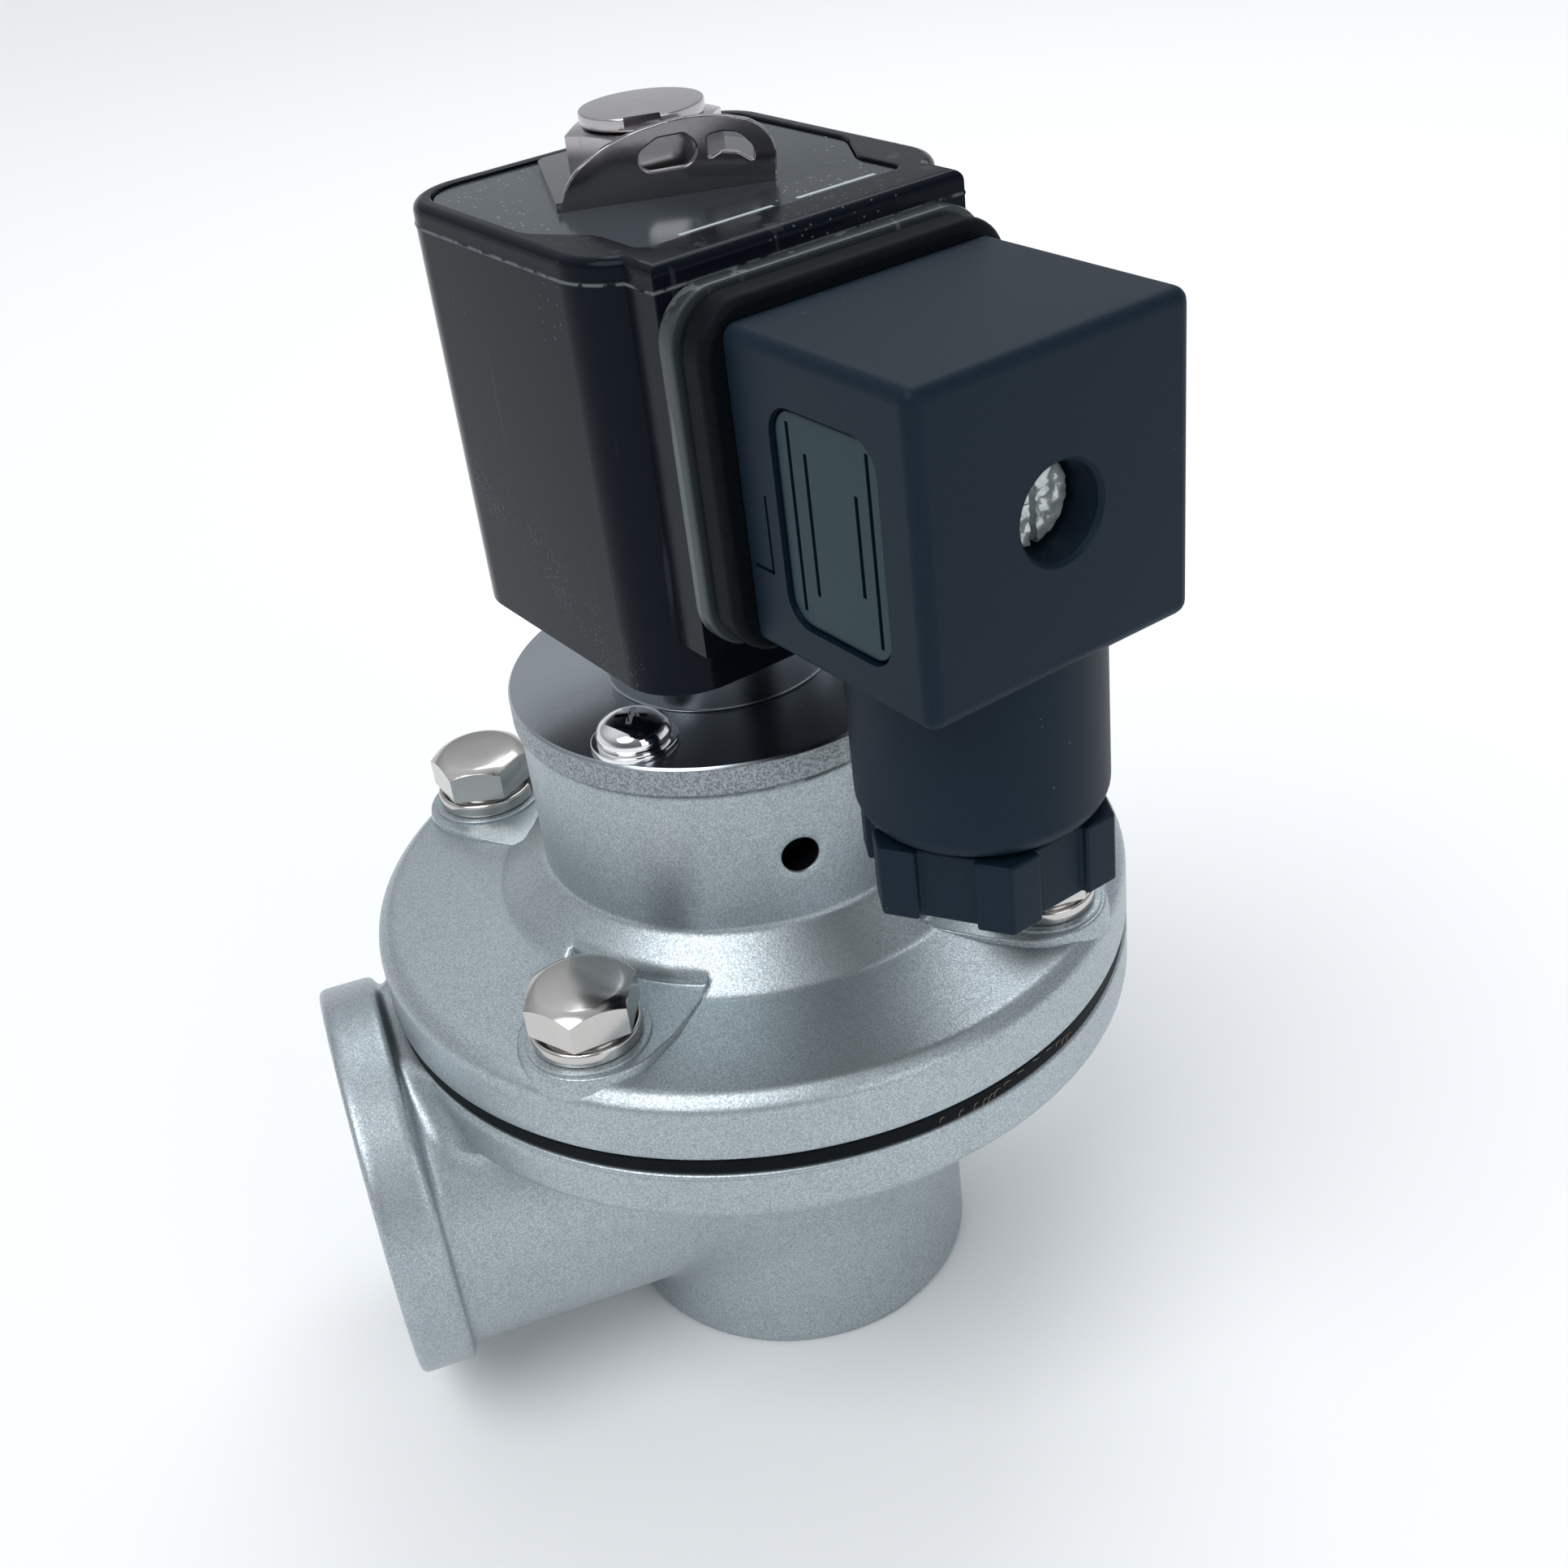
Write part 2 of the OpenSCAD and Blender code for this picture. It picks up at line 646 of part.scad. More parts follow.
// Cast bonnet: flange, cone, turret with the vent cavity and the pilot passage
module bonnet() {
    color("silver") difference() {
        union() {
            difference() {
                rotate_extrude() difference() {
                    polygon([[0, bonnet_z], [flange_r, bonnet_z], [flange_r, side_top_z],
                        [flange_r - rim_slope_w, side_top_z + rim_slope_h], [cone_foot_r, ring_z],
                        [turret_r + turret_blend, cone_top_z], [turret_r, cone_top_z + turret_blend],
                        [turret_r, turret_top_z], [0, turret_top_z]]);
                    bonnet_hollow();
                }
                for (a = bolt_angles) rotate([0, 0, a]) translate([0, 0, pad_z])
                    linear_extrude(cone_h + over) pad_outline();
            }
            intersection() {
                for (a = bolt_angles) rotate([0, 0, a]) {
                    translate([0, 0, chamber_roof_z + over])
                        linear_extrude(pad_z - chamber_roof_z - over) pad_outline();
                    translate([bolt_circle_r, 0, chamber_roof_z + over])
                        cylinder(r = spot_r, h = spot_z - chamber_roof_z - over);
                }
                cylinder(r = flange_r - pad_edge_gap, h = turret_top_z);
            }
        }
        around(bolt_angles, bolt_circle_r)
            translate([0, 0, bonnet_z - over]) cylinder(r = bolt_r + pass_gap, h = turret_top_z);
        around(pilot_screw_angles, pilot_screw_at_r)
            translate([0, 0, pilot_under_head_z - pilot_screw_len - tap_spare])
                cylinder(r = pilot_screw_r, h = pilot_screw_len + tap_spare);
        rotate([0, 0, exhaust_angle]) translate([vent_r - over, 0, exhaust_z]) rotate([0, 90, 0])
            cylinder(r = exhaust_r, h = turret_r - vent_r + 2 * over);
        tube(turret_top_z - oring_groove_h, oring_groove_h + over, oring_at_r + oring_groove_w / 2,
            oring_at_r - oring_groove_w / 2);
    }
}

// Half section of the space inside the bonnet
module bonnet_hollow() {
    polygon([[-over, bonnet_z - over], [chamber_r, bonnet_z - over], [chamber_r, chamber_roof_z - roof_bevel],
        [chamber_r - roof_bevel, chamber_roof_z], [well_r, chamber_roof_z], [well_r, well_roof_z - roof_bevel],
        [well_r - roof_bevel, well_roof_z], [passage_pilot_r, well_roof_z], [passage_pilot_r, nozzle_socket_z],
        [nozzle_shank_r, nozzle_socket_z], [nozzle_shank_r, column_top_z], [column_r, column_top_z],
        [column_r, vent_floor_z], [vent_r, vent_floor_z], [vent_r, turret_top_z + over],
        [-over, turret_top_z + over]]);
}

// Four hexagon bolts that hold the bonnet, diaphragm and body together
module flange_bolts() {
    color("gainsboro") for (i = [0 : len(bolt_angles) - 1]) around([bolt_angles[i]], bolt_circle_r)
        rotate([0, 0, bolt_head_turns[i]]) {
            hex_head(bolt_under_head_z, bolt_head_h, bolt_af);
            translate([0, 0, bolt_under_head_z - bolt_len]) cylinder(r = bolt_r - thread_gap, h = bolt_len);
        }
}

// Split spring washers under the bolt heads
module flange_spring_washers() {
    color("gray") around(bolt_angles, bolt_circle_r) difference() {
        tube(spot_z, spring_washer_t, spring_washer_r, bolt_r + washer_gap);
        rotate([0, 0, spring_washer_turn]) translate([0, -spring_washer_gap / 2, spot_z - over])
            cube([spring_washer_r + over, spring_washer_gap, spring_washer_t + 2 * over]);
    }
}

// Brass nozzle that the plunger closes
module pilot_seat() {
    head_z = column_top_z;
    nozzle_z = head_z + nozzle_head_h;
    color("goldenrod") difference() {
        union() {
            translate([0, 0, nozzle_socket_z])
                cylinder(r = nozzle_shank_r - thread_gap, h = head_z - nozzle_socket_z);
            translate([0, 0, head_z]) cylinder(r = nozzle_head_af / 2 / cos(30), h = nozzle_head_h, $fn = 6);
            translate([0, 0, nozzle_z])
                cylinder(r1 = nozzle_bore_r + nozzle_foot_wall, r2 = nozzle_bore_r + nozzle_tip_wall,
                    h = nozzle_tip_z - nozzle_z);
        }
        cylinder(r = nozzle_bore_r, h = turret_top_z);
    }
}

module core_tube_seal() {
    color("black") translate([0, 0, turret_top_z - oring_r]) rotate_extrude()
        translate([oring_at_r, 0]) circle(r = oring_r);
}

// Stainless tube that the plunger slides in, with its foot flange
module core_tube() {
    color("lightgray") difference() {
        union() {
            translate([0, 0, plate_z]) cylinder(r = tube_flange_r, h = tube_flange_t);
            translate([0, 0, plate_z]) cylinder(r = tube_r, h = tube_top_z - plate_z);
        }
        translate([0, 0, plate_z - over]) cylinder(r = tube_bore_r, h = tube_top_z);
    }
}

// Plate that clamps the core tube to the turret, with the hub that the coil stands on
module pilot_plate() {
    color("silver") difference() {
        rotate_extrude() polygon([[tube_r + seat_gap, plate_z + tube_flange_t],
            [tube_flange_r + seat_gap, plate_z + tube_flange_t], [tube_flange_r + seat_gap, plate_z],
            [plate_r, plate_z], [plate_r, plate_top_z - plate_chamfer / 2],
            [plate_r - plate_chamfer, plate_top_z], [hub_r, plate_top_z], [hub_r, hub_top_z - hub_chamfer],
            [hub_r - hub_chamfer, hub_top_z], [tube_r + seat_gap, hub_top_z]]);
        around(pilot_screw_angles, pilot_screw_at_r)
            translate([0, 0, plate_z - over]) cylinder(r = pilot_screw_r + plate_hole_gap, h = plate_t + 2 * over);
    }
}

// Domed screws that hold the pilot plate
module pilot_screws() {
    rise = pilot_head_h - pilot_head_side_h;
    dome_r = (pow(pilot_head_r, 2) + pow(rise, 2)) / (2 * rise);
    color("gainsboro") around(pilot_screw_angles, pilot_screw_at_r) {
        intersection() {
            translate([0, 0, pilot_under_head_z]) cylinder(r = pilot_head_r, h = pilot_head_h);
            translate([0, 0, pilot_under_head_z + pilot_head_h - dome_r]) sphere(r = dome_r);
        }
        translate([0, 0, pilot_under_head_z - pilot_screw_len])
            cylinder(r = pilot_screw_r - thread_gap, h = pilot_screw_len);
    }
}

module pilot_screw_washers() {
    color("gainsboro") around(pilot_screw_angles, pilot_screw_at_r)
        tube(plate_top_z, pilot_washer_t, pilot_washer_r, pilot_screw_r + washer_gap);
}

// Steel plunger with a pocket for its seal below and its spring above
module plunger() {
    color("slategray") difference() {
        translate([0, 0, plunger_z]) cylinder(r = plunger_r, h = plunger_len);
        translate([0, 0, plunger_z - over])
            cylinder(r = plunger_seal_r + seat_gap, h = plunger_seal_t - seal_stand + over);
        translate([0, 0, plunger_top_z - spring_pocket_depth])
            cylinder(r = spring_pocket_r, h = spring_pocket_depth + over);
    }
}

module plunger_seal() {
    color("dimgray") translate([0, 0, nozzle_tip_z]) cylinder(r = plunger_seal_r, h = plunger_seal_t);
}

module plunger_spring() {
    color("lightgray") spring(plunger_spring_r, plunger_spring_r, plunger_top_z - spring_pocket_depth,
        spring_pocket_depth + plunger_lift, plunger_spring_turns, plunger_spring_wire_r);
}

// Fixed iron core in the top of the tube, with the stud for the coil nut
module fixed_core() {
    color("slategray") difference() {
        union() {
            translate([0, 0, fixed_core_z]) cylinder(r = tube_bore_r - core_gap, h = tube_top_z - fixed_core_z);
            translate([0, 0, fixed_core_z]) cylinder(r = stud_r, h = stud_top_z - fixed_core_z);
        }
        tube(fixed_core_z - over, shading_h + over, shading_out_r + shading_gap, shading_in_r - shading_gap);
    }
}

module shading_ring() {
    color("peru") tube(fixed_core_z, shading_h, shading_out_r, shading_in_r);
}

module coil_seat_washer() {
    color("gainsboro") tube(hub_top_z, coil_washer_t, coil_washer_r, tube_r + slip_gap);
}

// Plan of the coil housing, drawn in by an inset
module coil_plan(inset) {
    translate([0, (coil_back - coil_front) / 2])
        rounded_rect(2 * (coil_half_w - inset), coil_back + coil_front - 2 * inset, coil_corner_r - inset);
}

module terminal_plan(inset) {
    translate([inset - terminal_half_w, inset - terminal_front])
        square([2 * (terminal_half_w - inset), terminal_front - inset]);
}

// Places the children at the two line contacts and the earth contact, blades lying in local XY
module contacts(y) {
    for (s = [-1, 1]) on_face(y, plug_z) translate([s * contact_at, 0, 0]) rotate([0, 0, 90]) children();
    on_face(y, plug_z - earth_drop) children();
}

// Flat contact slot or blade: width across, thickness, length away from the coil
module blade_bar(w, t, len) {
    translate([-w / 2, -t / 2, 0]) cube([w, t, len]);
}

// Moulded resin block round the winding and yoke
module coil_housing() {
    terminal_z = coil_z + terminal_rise;
    color("black") coil_frame() difference() {
        union() {
            translate([0, 0, coil_z]) linear_extrude(coil_h) coil_plan(0);
            translate([0, 0, terminal_z]) linear_extrude(coil_h - terminal_rise) terminal_plan(0);
        }
        translate([0, 0, label_floor_z]) linear_extrude(label_recess + over) {
            coil_plan(label_rim);
            terminal_plan(label_rim);
        }
        cylinder(r = coil_bore_r, h = coil_top_z + over);
        translate([0, 0, yoke_low_z + yoke_t])
            cylinder(r = bobbin_flange_r + seat_gap, h = yoke_high_z - yoke_low_z - 2 * yoke_t);
        yoke_strap(seat_gap);
        contacts(terminal_front - blade_root)
            blade_bar(blade_w + 2 * seat_gap, blade_t + 2 * seat_gap, blade_root + over);
        on_face(terminal_front - screw_engagement - screw_tip_gap, plug_z)
            cylinder(r = connector_screw_r, h = screw_engagement + screw_tip_gap + over);
    }
}

// Bent steel strap that closes the magnetic circuit; grow makes room for it in the resin
module yoke_strap(grow) {
    outer_w = 2 * (yoke_half_w + grow);
    outer_h = yoke_high_z - yoke_low_z + 2 * grow;
    depth = 2 * (yoke_half_d + grow);
    inner_w = 2 * (yoke_half_w - yoke_t - grow);
    inner_h = yoke_high_z - yoke_low_z - 2 * yoke_t - 2 * grow;
    mid_z = (yoke_high_z + yoke_low_z) / 2;
    translate([0, 0, mid_z]) difference() {
        cube([outer_w, depth, outer_h], center = true);
        cube([inner_w, depth + over, inner_h], center = true);
    }
}

module coil_yoke() {
    color("dimgray") coil_frame() difference() {
        yoke_strap(0);
        cylinder(r = coil_bore_r + seat_gap, h = coil_top_z);
    }
}

module coil_bobbin() {
    color("ivory") coil_frame() {
        tube(bobbin_low_z, bobbin_high_z - bobbin_low_z, bobbin_tube_r, coil_bore_r + seat_gap);
        tube(bobbin_low_z, bobbin_flange_t, bobbin_flange_r, bobbin_tube_r - flange_overlap);
        tube(bobbin_high_z - bobbin_flange_t, bobbin_flange_t, bobbin_flange_r, bobbin_tube_r - flange_overlap);
    }
}

module coil_winding() {
    low_z = bobbin_low_z + bobbin_flange_t;
    color("peru") coil_frame()
        tube(low_z, bobbin_high_z - bobbin_flange_t - low_z, winding_r, bobbin_tube_r + seat_gap);
}

// Thin bare plate in the recess on top of the coil
module coil_label() {
    color("darkgray") coil_frame() translate([0, 0, label_floor_z]) difference() {
        linear_extrude(label_t) {
            coil_plan(label_rim + seat_gap);
            terminal_plan(label_rim + seat_gap);
        }
        translate([0, 0, -over]) cylinder(r = coil_bore_r, h = label_t + 2 * over);
    }
}

// Hexagon nut with a raised disc that holds the coil down
module coil_nut() {
    color("silver") difference() {
        union() {
            hex_head(coil_nut_z, coil_nut_h, coil_nut_af);
            translate([0, 0, coil_nut_z]) cylinder(r = coil_nut_disc_r, h = coil_nut_h + coil_nut_disc_h);
        }
        translate([0, 0, coil_nut_z - over]) cylinder(r = stud_r + thread_gap, h = coil_nut_h + over);
    }
}

// Spring steel clip: a flat plate under the nut and an upright tab with a window
module retaining_clip() {
    window_z = clip_t + clip_tab_h / 2;
    color("silver") rotate([0, 0, clip_turn]) translate([0, 0, clip_z]) {
        difference() {
            linear_extrude(clip_t) polygon([[-clip_half_w, -clip_tab_at], [clip_half_w, -clip_tab_at],
                [clip_half_w, clip_shoulder], [clip_half_w - clip_tail_taper, clip_tail],
                [clip_tail_taper - clip_half_w, clip_tail], [-clip_half_w, clip_shoulder]]);
            translate([0, 0, -over]) cylinder(r = clip_hole_r, h = clip_t + 2 * over);
        }
        translate([0, clip_t - clip_tab_at, 0]) rotate([90, 0, 0]) linear_extrude(clip_t) difference() {
            intersection() {
                translate([0, clip_tab_h - clip_arch_r]) circle(r = clip_arch_r);
                translate([-clip_half_w, 0]) square([2 * clip_half_w, clip_tab_h + over]);
            }
            for (s = [-1, 1]) translate([s * clip_window_r, window_z]) circle(r = clip_window_r);
            translate([-clip_window_r, window_z - clip_window_r]) square(2 * clip_window_r);
        }
    }
}

// Two line contacts and the earth contact of the coil
module terminal_blades() {
    color("gold") coil_frame() contacts(terminal_front - blade_root)
        blade_bar(blade_w, blade_t, blade_root + base_t + gasket_t + blade_reach);
}

// A flat frame behind the connector, with room for the blades and the screw
module face_frame(y, t, half_w, half_h) {
    difference() {
        on_face(y, plug_z) linear_extrude(t) rounded_rect(2 * half_w, 2 * half_h, gasket_corner_r);
        on_face(y - over, plug_z) cylinder(r = screw_hole_r, h = t + 2 * over);
        contacts(y - over) blade_bar(blade_w + 2 * seat_gap, blade_t + 2 * seat_gap, t + 2 * over);
    }
}

module terminal_base() {
    color("darkslategray") coil_frame() face_frame(base_y, base_t, base_half_w, base_half_h);
}

module connector_gasket() {
    color("black") coil_frame() face_frame(gasket_y, gasket_t, gasket_half_w, gasket_half_h);
}

// Connector housing with the gland barrel below and the screw's recess in front
module connector_housing() {
    color("dimgray") coil_frame() difference() {
        union() {
            difference() {
                on_face(plug_y, plug_z) linear_extrude(plug_depth)
                    rounded_rect(2 * plug_half_w, plug_h, plug_corner_r);
                on_face(plug_y - over, plug_z) translate([0, 0, (plug_depth - plug_wall + over) / 2])
                    cube([2 * (plug_half_w - plug_wall), plug_h - 2 * plug_wall, plug_depth - plug_wall + over],
                        center = true);
            }
            on_face(screw_boss_end_y, plug_z) cylinder(r = screw_boss_r, h = plug_front_y - screw_boss_end_y - 1);
            translate([0, -gland_at, barrel_low_z]) rotate_extrude() {
                square([barrel_r - barrel_round, barrel_len + plug_wall]);
                translate([0, barrel_round]) square([barrel_r, barrel_len + plug_wall - barrel_round]);
                translate([barrel_r - barrel_round, barrel_round]) circle(r = barrel_round);
            }
        }
        on_face(screw_seat_y, plug_z) cylinder(r = screw_recess_r, h = screw_recess_depth + over);
        on_face(plug_y, plug_z) cylinder(r = screw_hole_r, h = plug_depth);
        translate([0, -gland_at, barrel_low_z - over])
            cylinder(r = barrel_bore_r, h = barrel_roof_z - barrel_low_z + over);
        translate([0, -gland_at, barrel_low_z]) cylinder(r = cable_way_r, h = barrel_len + plug_wall + over);
    }
}

// Insulating block that holds the clamps
module connector_insert() {
    color("darkgray") coil_frame() difference() {
        on_face(insert_back_y, plug_z) translate([0, 0, insert_depth / 2])
            cube([2 * insert_half_w, 2 * insert_half_h, insert_depth], center = true);
        on_face(insert_back_y - over, plug_z) cylinder(r = screw_hole_r, h = insert_depth + 2 * over);
        contacts(insert_back_y - over)
            blade_bar(blade_w + 2 * seat_gap, blade_t + 2 * seat_gap, insert_depth);
        contacts(clamp_back_y - seat_gap)
            blade_bar(clamp_w + 2 * seat_gap, clamp_t + 2 * seat_gap, clamp_depth + over);
    }
}

// Brass clamps that grip the blades
module terminal_clamps() {
    color("goldenrod") coil_frame() difference() {
        contacts(clamp_back_y) blade_bar(clamp_w, clamp_t, clamp_depth);
        contacts(clamp_back_y - over)
            blade_bar(blade_w + 2 * seat_gap, blade_t + 2 * seat_gap, clamp_depth - clamp_screw_depth);
        contacts(insert_front_y - clamp_screw_depth)
            cylinder(r = clamp_screw_r + seat_gap, h = clamp_screw_depth + over);
    }
}

module terminal_screws() {
    color("gainsboro") coil_frame() {
        contacts(insert_front_y) difference() {
            cylinder(r = clamp_head_r, h = clamp_head_h);
            translate([-clamp_slot_w / 2, -clamp_head_r - over, clamp_head_h / 2])
                cube([clamp_slot_w, 2 * clamp_head_r + 2 * over, clamp_head_h]);
        }
        contacts(insert_front_y - clamp_screw_depth + clamp_tip_gap)
            cylinder(r = clamp_screw_r, h = clamp_screw_depth - clamp_tip_gap);
    }
}

// Long screw that holds the connector on the coil
module connector_screw() {
    head_y = screw_seat_y + screw_seal_t;
    tip_y = terminal_front - screw_engagement;
    color("gainsboro") coil_frame() {
        difference() {
            on_face(head_y, plug_z) cylinder(r = connector_head_r, h = connector_head_h);
            on_face(head_y + connector_head_h / 2, plug_z)
                translate([-screw_slot_w / 2, -connector_head_r - over, 0])
                    cube([screw_slot_w, 2 * connector_head_r + 2 * over, connector_head_h]);
        }
        on_face(tip_y, plug_z) cylinder(r = connector_screw_r - thread_gap, h = head_y - tip_y);
    }
}

module connector_screw_seal() {
    color("dimgray") coil_frame() on_face(screw_seat_y, plug_z)
        tube(0, screw_seal_t, connector_head_r + seal_margin, connector_screw_r + run_gap);
}

// Places the children on the gland's axis
module on_gland() {
    coil_frame() translate([0, -gland_at, 0]) children();
}

module gland_grommet() {
    color("black") on_gland() tube(grommet_z, grommet_h, grommet_r, grommet_bore_r);
}

module gland_ring() {
    color("gainsboro") on_gland() tube(gland_ring_z, gland_ring_t, gland_shank_r, cable_r + gland_ring_lip);
}

// Gland nut: hexagon head with small lugs on its corners and a shank that screws into the barrel
module gland_nut() {
    color("black") on_gland() difference() {
        union() {
            translate([0, 0, gland_nut_low_z]) difference() {
                cylinder(r = gland_corner_r, h = gland_nut_h, $fn = 6);
                for (i = [0 : 5]) rotate([0, 0, 30 + 60 * i])
                    translate([gland_nut_af / 2 - gland_flat_depth, -gland_flat_len / 2, -over])
                        cube([gland_corner_r, gland_flat_len, gland_nut_h + 2 * over]);
            }
            translate([0, 0, gland_nut_low_z]) cylinder(r = gland_shank_r, h = gland_nut_h + gland_shank_len);
        }
        cylinder(r = cable_r, h = grommet_z);
    }
}

valve_body();
main_diaphragm();
diaphragm_upper_disc();
diaphragm_lower_disc();
diaphragm_rivet();
bleed_eyelet();
main_spring();
bonnet();
flange_bolts();
flange_spring_washers();
pilot_seat();
core_tube_seal();
core_tube();
pilot_plate();
pilot_screws();
pilot_screw_washers();
plunger();
plunger_seal();
plunger_spring();
fixed_core();
shading_ring();
coil_seat_washer();
coil_housing();
coil_bobbin();
coil_winding();
coil_yoke();
coil_label();
coil_nut();
retaining_clip();
terminal_blades();
terminal_base();
connector_gasket();
connector_housing();
connector_insert();
terminal_clamps();
terminal_screws();
connector_screw();
connector_screw_seal();
gland_grommet();
gland_ring();
gland_nut();
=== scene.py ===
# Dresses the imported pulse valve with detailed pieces, finishes, floor, light and camera.
import json
import math

import bmesh
import bpy
import numpy as np
from bpy.props import FloatProperty, FloatVectorProperty, PointerProperty
from mathutils import Matrix, Vector, noise

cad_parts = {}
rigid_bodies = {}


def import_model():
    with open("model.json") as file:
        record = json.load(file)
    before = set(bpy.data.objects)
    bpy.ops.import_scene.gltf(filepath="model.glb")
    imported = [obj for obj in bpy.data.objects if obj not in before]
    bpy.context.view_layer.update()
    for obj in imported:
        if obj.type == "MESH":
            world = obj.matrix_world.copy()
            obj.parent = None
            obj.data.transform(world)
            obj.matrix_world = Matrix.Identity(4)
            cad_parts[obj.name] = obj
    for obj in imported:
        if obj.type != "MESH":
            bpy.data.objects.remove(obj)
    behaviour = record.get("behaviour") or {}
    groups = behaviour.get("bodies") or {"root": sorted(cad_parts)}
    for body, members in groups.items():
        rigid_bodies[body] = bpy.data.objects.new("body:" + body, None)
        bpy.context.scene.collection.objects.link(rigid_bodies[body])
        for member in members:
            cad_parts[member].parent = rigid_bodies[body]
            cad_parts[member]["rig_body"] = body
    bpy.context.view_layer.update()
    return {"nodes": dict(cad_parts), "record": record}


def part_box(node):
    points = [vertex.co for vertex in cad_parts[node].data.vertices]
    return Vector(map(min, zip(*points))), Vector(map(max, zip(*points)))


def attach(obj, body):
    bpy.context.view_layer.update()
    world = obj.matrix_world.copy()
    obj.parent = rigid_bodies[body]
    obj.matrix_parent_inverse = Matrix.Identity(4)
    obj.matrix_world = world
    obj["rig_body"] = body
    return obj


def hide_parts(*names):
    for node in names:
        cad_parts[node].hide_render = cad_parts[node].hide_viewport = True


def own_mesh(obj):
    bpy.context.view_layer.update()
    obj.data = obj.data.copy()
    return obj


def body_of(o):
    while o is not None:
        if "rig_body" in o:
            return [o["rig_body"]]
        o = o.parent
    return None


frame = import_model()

bl_info = {
    "name": "Pulse Valve",
    "version": (1, 0, 0),
    "blender": (4, 5, 0),
    "location": "View3D > Sidebar > Pulse Valve",
    "description": "Builds a right-angle diaphragm pulse valve with its coil and connector",
    "category": "Object",
}

# Shapes are worked out in millimetres and scaled to metres when a piece is finished.
MM = 0.001

# Turn of the coil, and of everything that turns with it, about the valve axis
COIL_TURN = math.radians(17)
# Heights of the main joints along the valve axis
PARTING_Z = 46.5
BONNET_Z = 48.5
TURRET_TOP_Z = 76.9
PLATE_TOP_Z = 80.2
HUB_TOP_Z = 89.4
COIL_Z = 90.2
COIL_TOP_Z = 129.6
LABEL_FLOOR_Z = 128.8
CLIP_Z = 129.3
NUT_Z = 130.1
PLUG_Z = 112.0
EXHAUST_Z = 68.3
PAD_Z = 56.64
WASHER_Z = 57.0
BOLT_HEAD_Z = 58.6
PILOT_HOLE_Z = 67.3
INLET_AXIS_Z = 26.5
FLASH_Z = 127.55
# Faces of the diaphragm's centre, and the fixed upper ends of the two springs
CENTRE_LOW_Z = 44.0
CENTRE_HIGH_Z = 46.0
MAIN_SPRING_TOP_Z = 57.6
PLUNGER_SPRING_TOP_Z = 106.0
# Radii of the castings and of the diaphragm
FLANGE_R = 41.0
SIDE_R = 40.98
CHAMBER_R = 28.5
TURRET_R = 21.5
BOSS_R = 20.5
EXHAUST_R = 1.9
RUBBER_R = 40.75
FOLD_OUTER_R = 27.7
FOLD_INNER_R = 19.0
# Circles of the flange bolts and of the pilot plate's screws, with their angles in degrees
BOLT_CIRCLE_R = 34.0
BOLT_ANGLES = (45, 135, 225, 315)
PILOT_CIRCLE_R = 17.7
PILOT_ANGLES = (45, 225)
# Half the coil's width and the rounding of its upright corners
COIL_HALF = 18.7
COIL_CORNER = 6.5
# Where things stand along the inlet's axis and in front of the valve's axis
INLET_FACE_X = -48.5
BASE_Y = 24.4
GASKET_Y = 26.4
PLUG_Y = 29.9
PLUG_FRONT_Y = 52.5
GLAND_Y = 41.1
# Edge lines round a turned piece: large pieces, middling ones and small ones
LARGE_STEPS = 256
MIDDLE_STEPS = 96
SMALL_STEPS = 64


class ValveSizes(bpy.types.PropertyGroup):
    """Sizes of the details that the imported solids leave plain"""

    thread_depth: FloatProperty(
        name="Thread depth", description="Depth of the pipe thread in both ports",
        default=1.3 * MM, unit="LENGTH")
    thread_pitch: FloatProperty(
        name="Thread pitch", description="Distance between two turns of the pipe thread",
        default=2.309 * MM, unit="LENGTH")
    boss_fillet: FloatProperty(
        name="Boss fillet", description="Blend where the inlet boss meets the bowl",
        default=4.0 * MM, unit="LENGTH")
    plug_edge: FloatProperty(
        name="Connector edge", description="Rounding of the connector housing's edges",
        default=1.3 * MM, unit="LENGTH")
    coil_edge: FloatProperty(
        name="Coil edge", description="Rounding of the coil's upper rim",
        default=1.5 * MM, unit="LENGTH")


class ValveColours(bpy.types.PropertyGroup):
    """Colours of the finishes that show most"""

    cast: FloatVectorProperty(
        name="Castings", description="Satin silver of the cast body and bonnet",
        default=(0.43, 0.485, 0.51), size=3, min=0, max=1, subtype="COLOR")
    resin: FloatVectorProperty(
        name="Coil", description="Glossy black of the moulded coil",
        default=(0.004, 0.005, 0.009), size=3, min=0, max=1, subtype="COLOR")
    housing: FloatVectorProperty(
        name="Connector", description="Matt blue-black of the connector housing",
        default=(0.003, 0.010, 0.019), size=3, min=0, max=1, subtype="COLOR")
    base: FloatVectorProperty(
        name="Terminal base", description="Grey-green of the terminal base",
        default=(0.034, 0.041, 0.040), size=3, min=0, max=1, subtype="COLOR")
    floor: FloatVectorProperty(
        name="Floor", description="Plain pale floor",
        default=(0.93, 0.935, 0.94), size=3, min=0, max=1, subtype="COLOR")


# Mesh helpers

def faced_out(bm):
    """The same mesh with every face turned outwards"""
    bmesh.ops.recalc_face_normals(bm, faces=bm.faces[:])
    return bm


def merged(bm, distance=1e-4):
    """The same mesh with points that lie together made one"""
    bmesh.ops.remove_doubles(bm, verts=bm.verts[:], dist=distance)
    return bm


def cut_level(bm, height, up=1, **settings):
    """Cuts the faces that cross a height"""
    bmesh.ops.bisect_plane(bm, geom=bm.verts[:] + bm.edges[:] + bm.faces[:], plane_co=(0, 0, height),
                           plane_no=(0, 0, up), dist=1e-4, **settings)


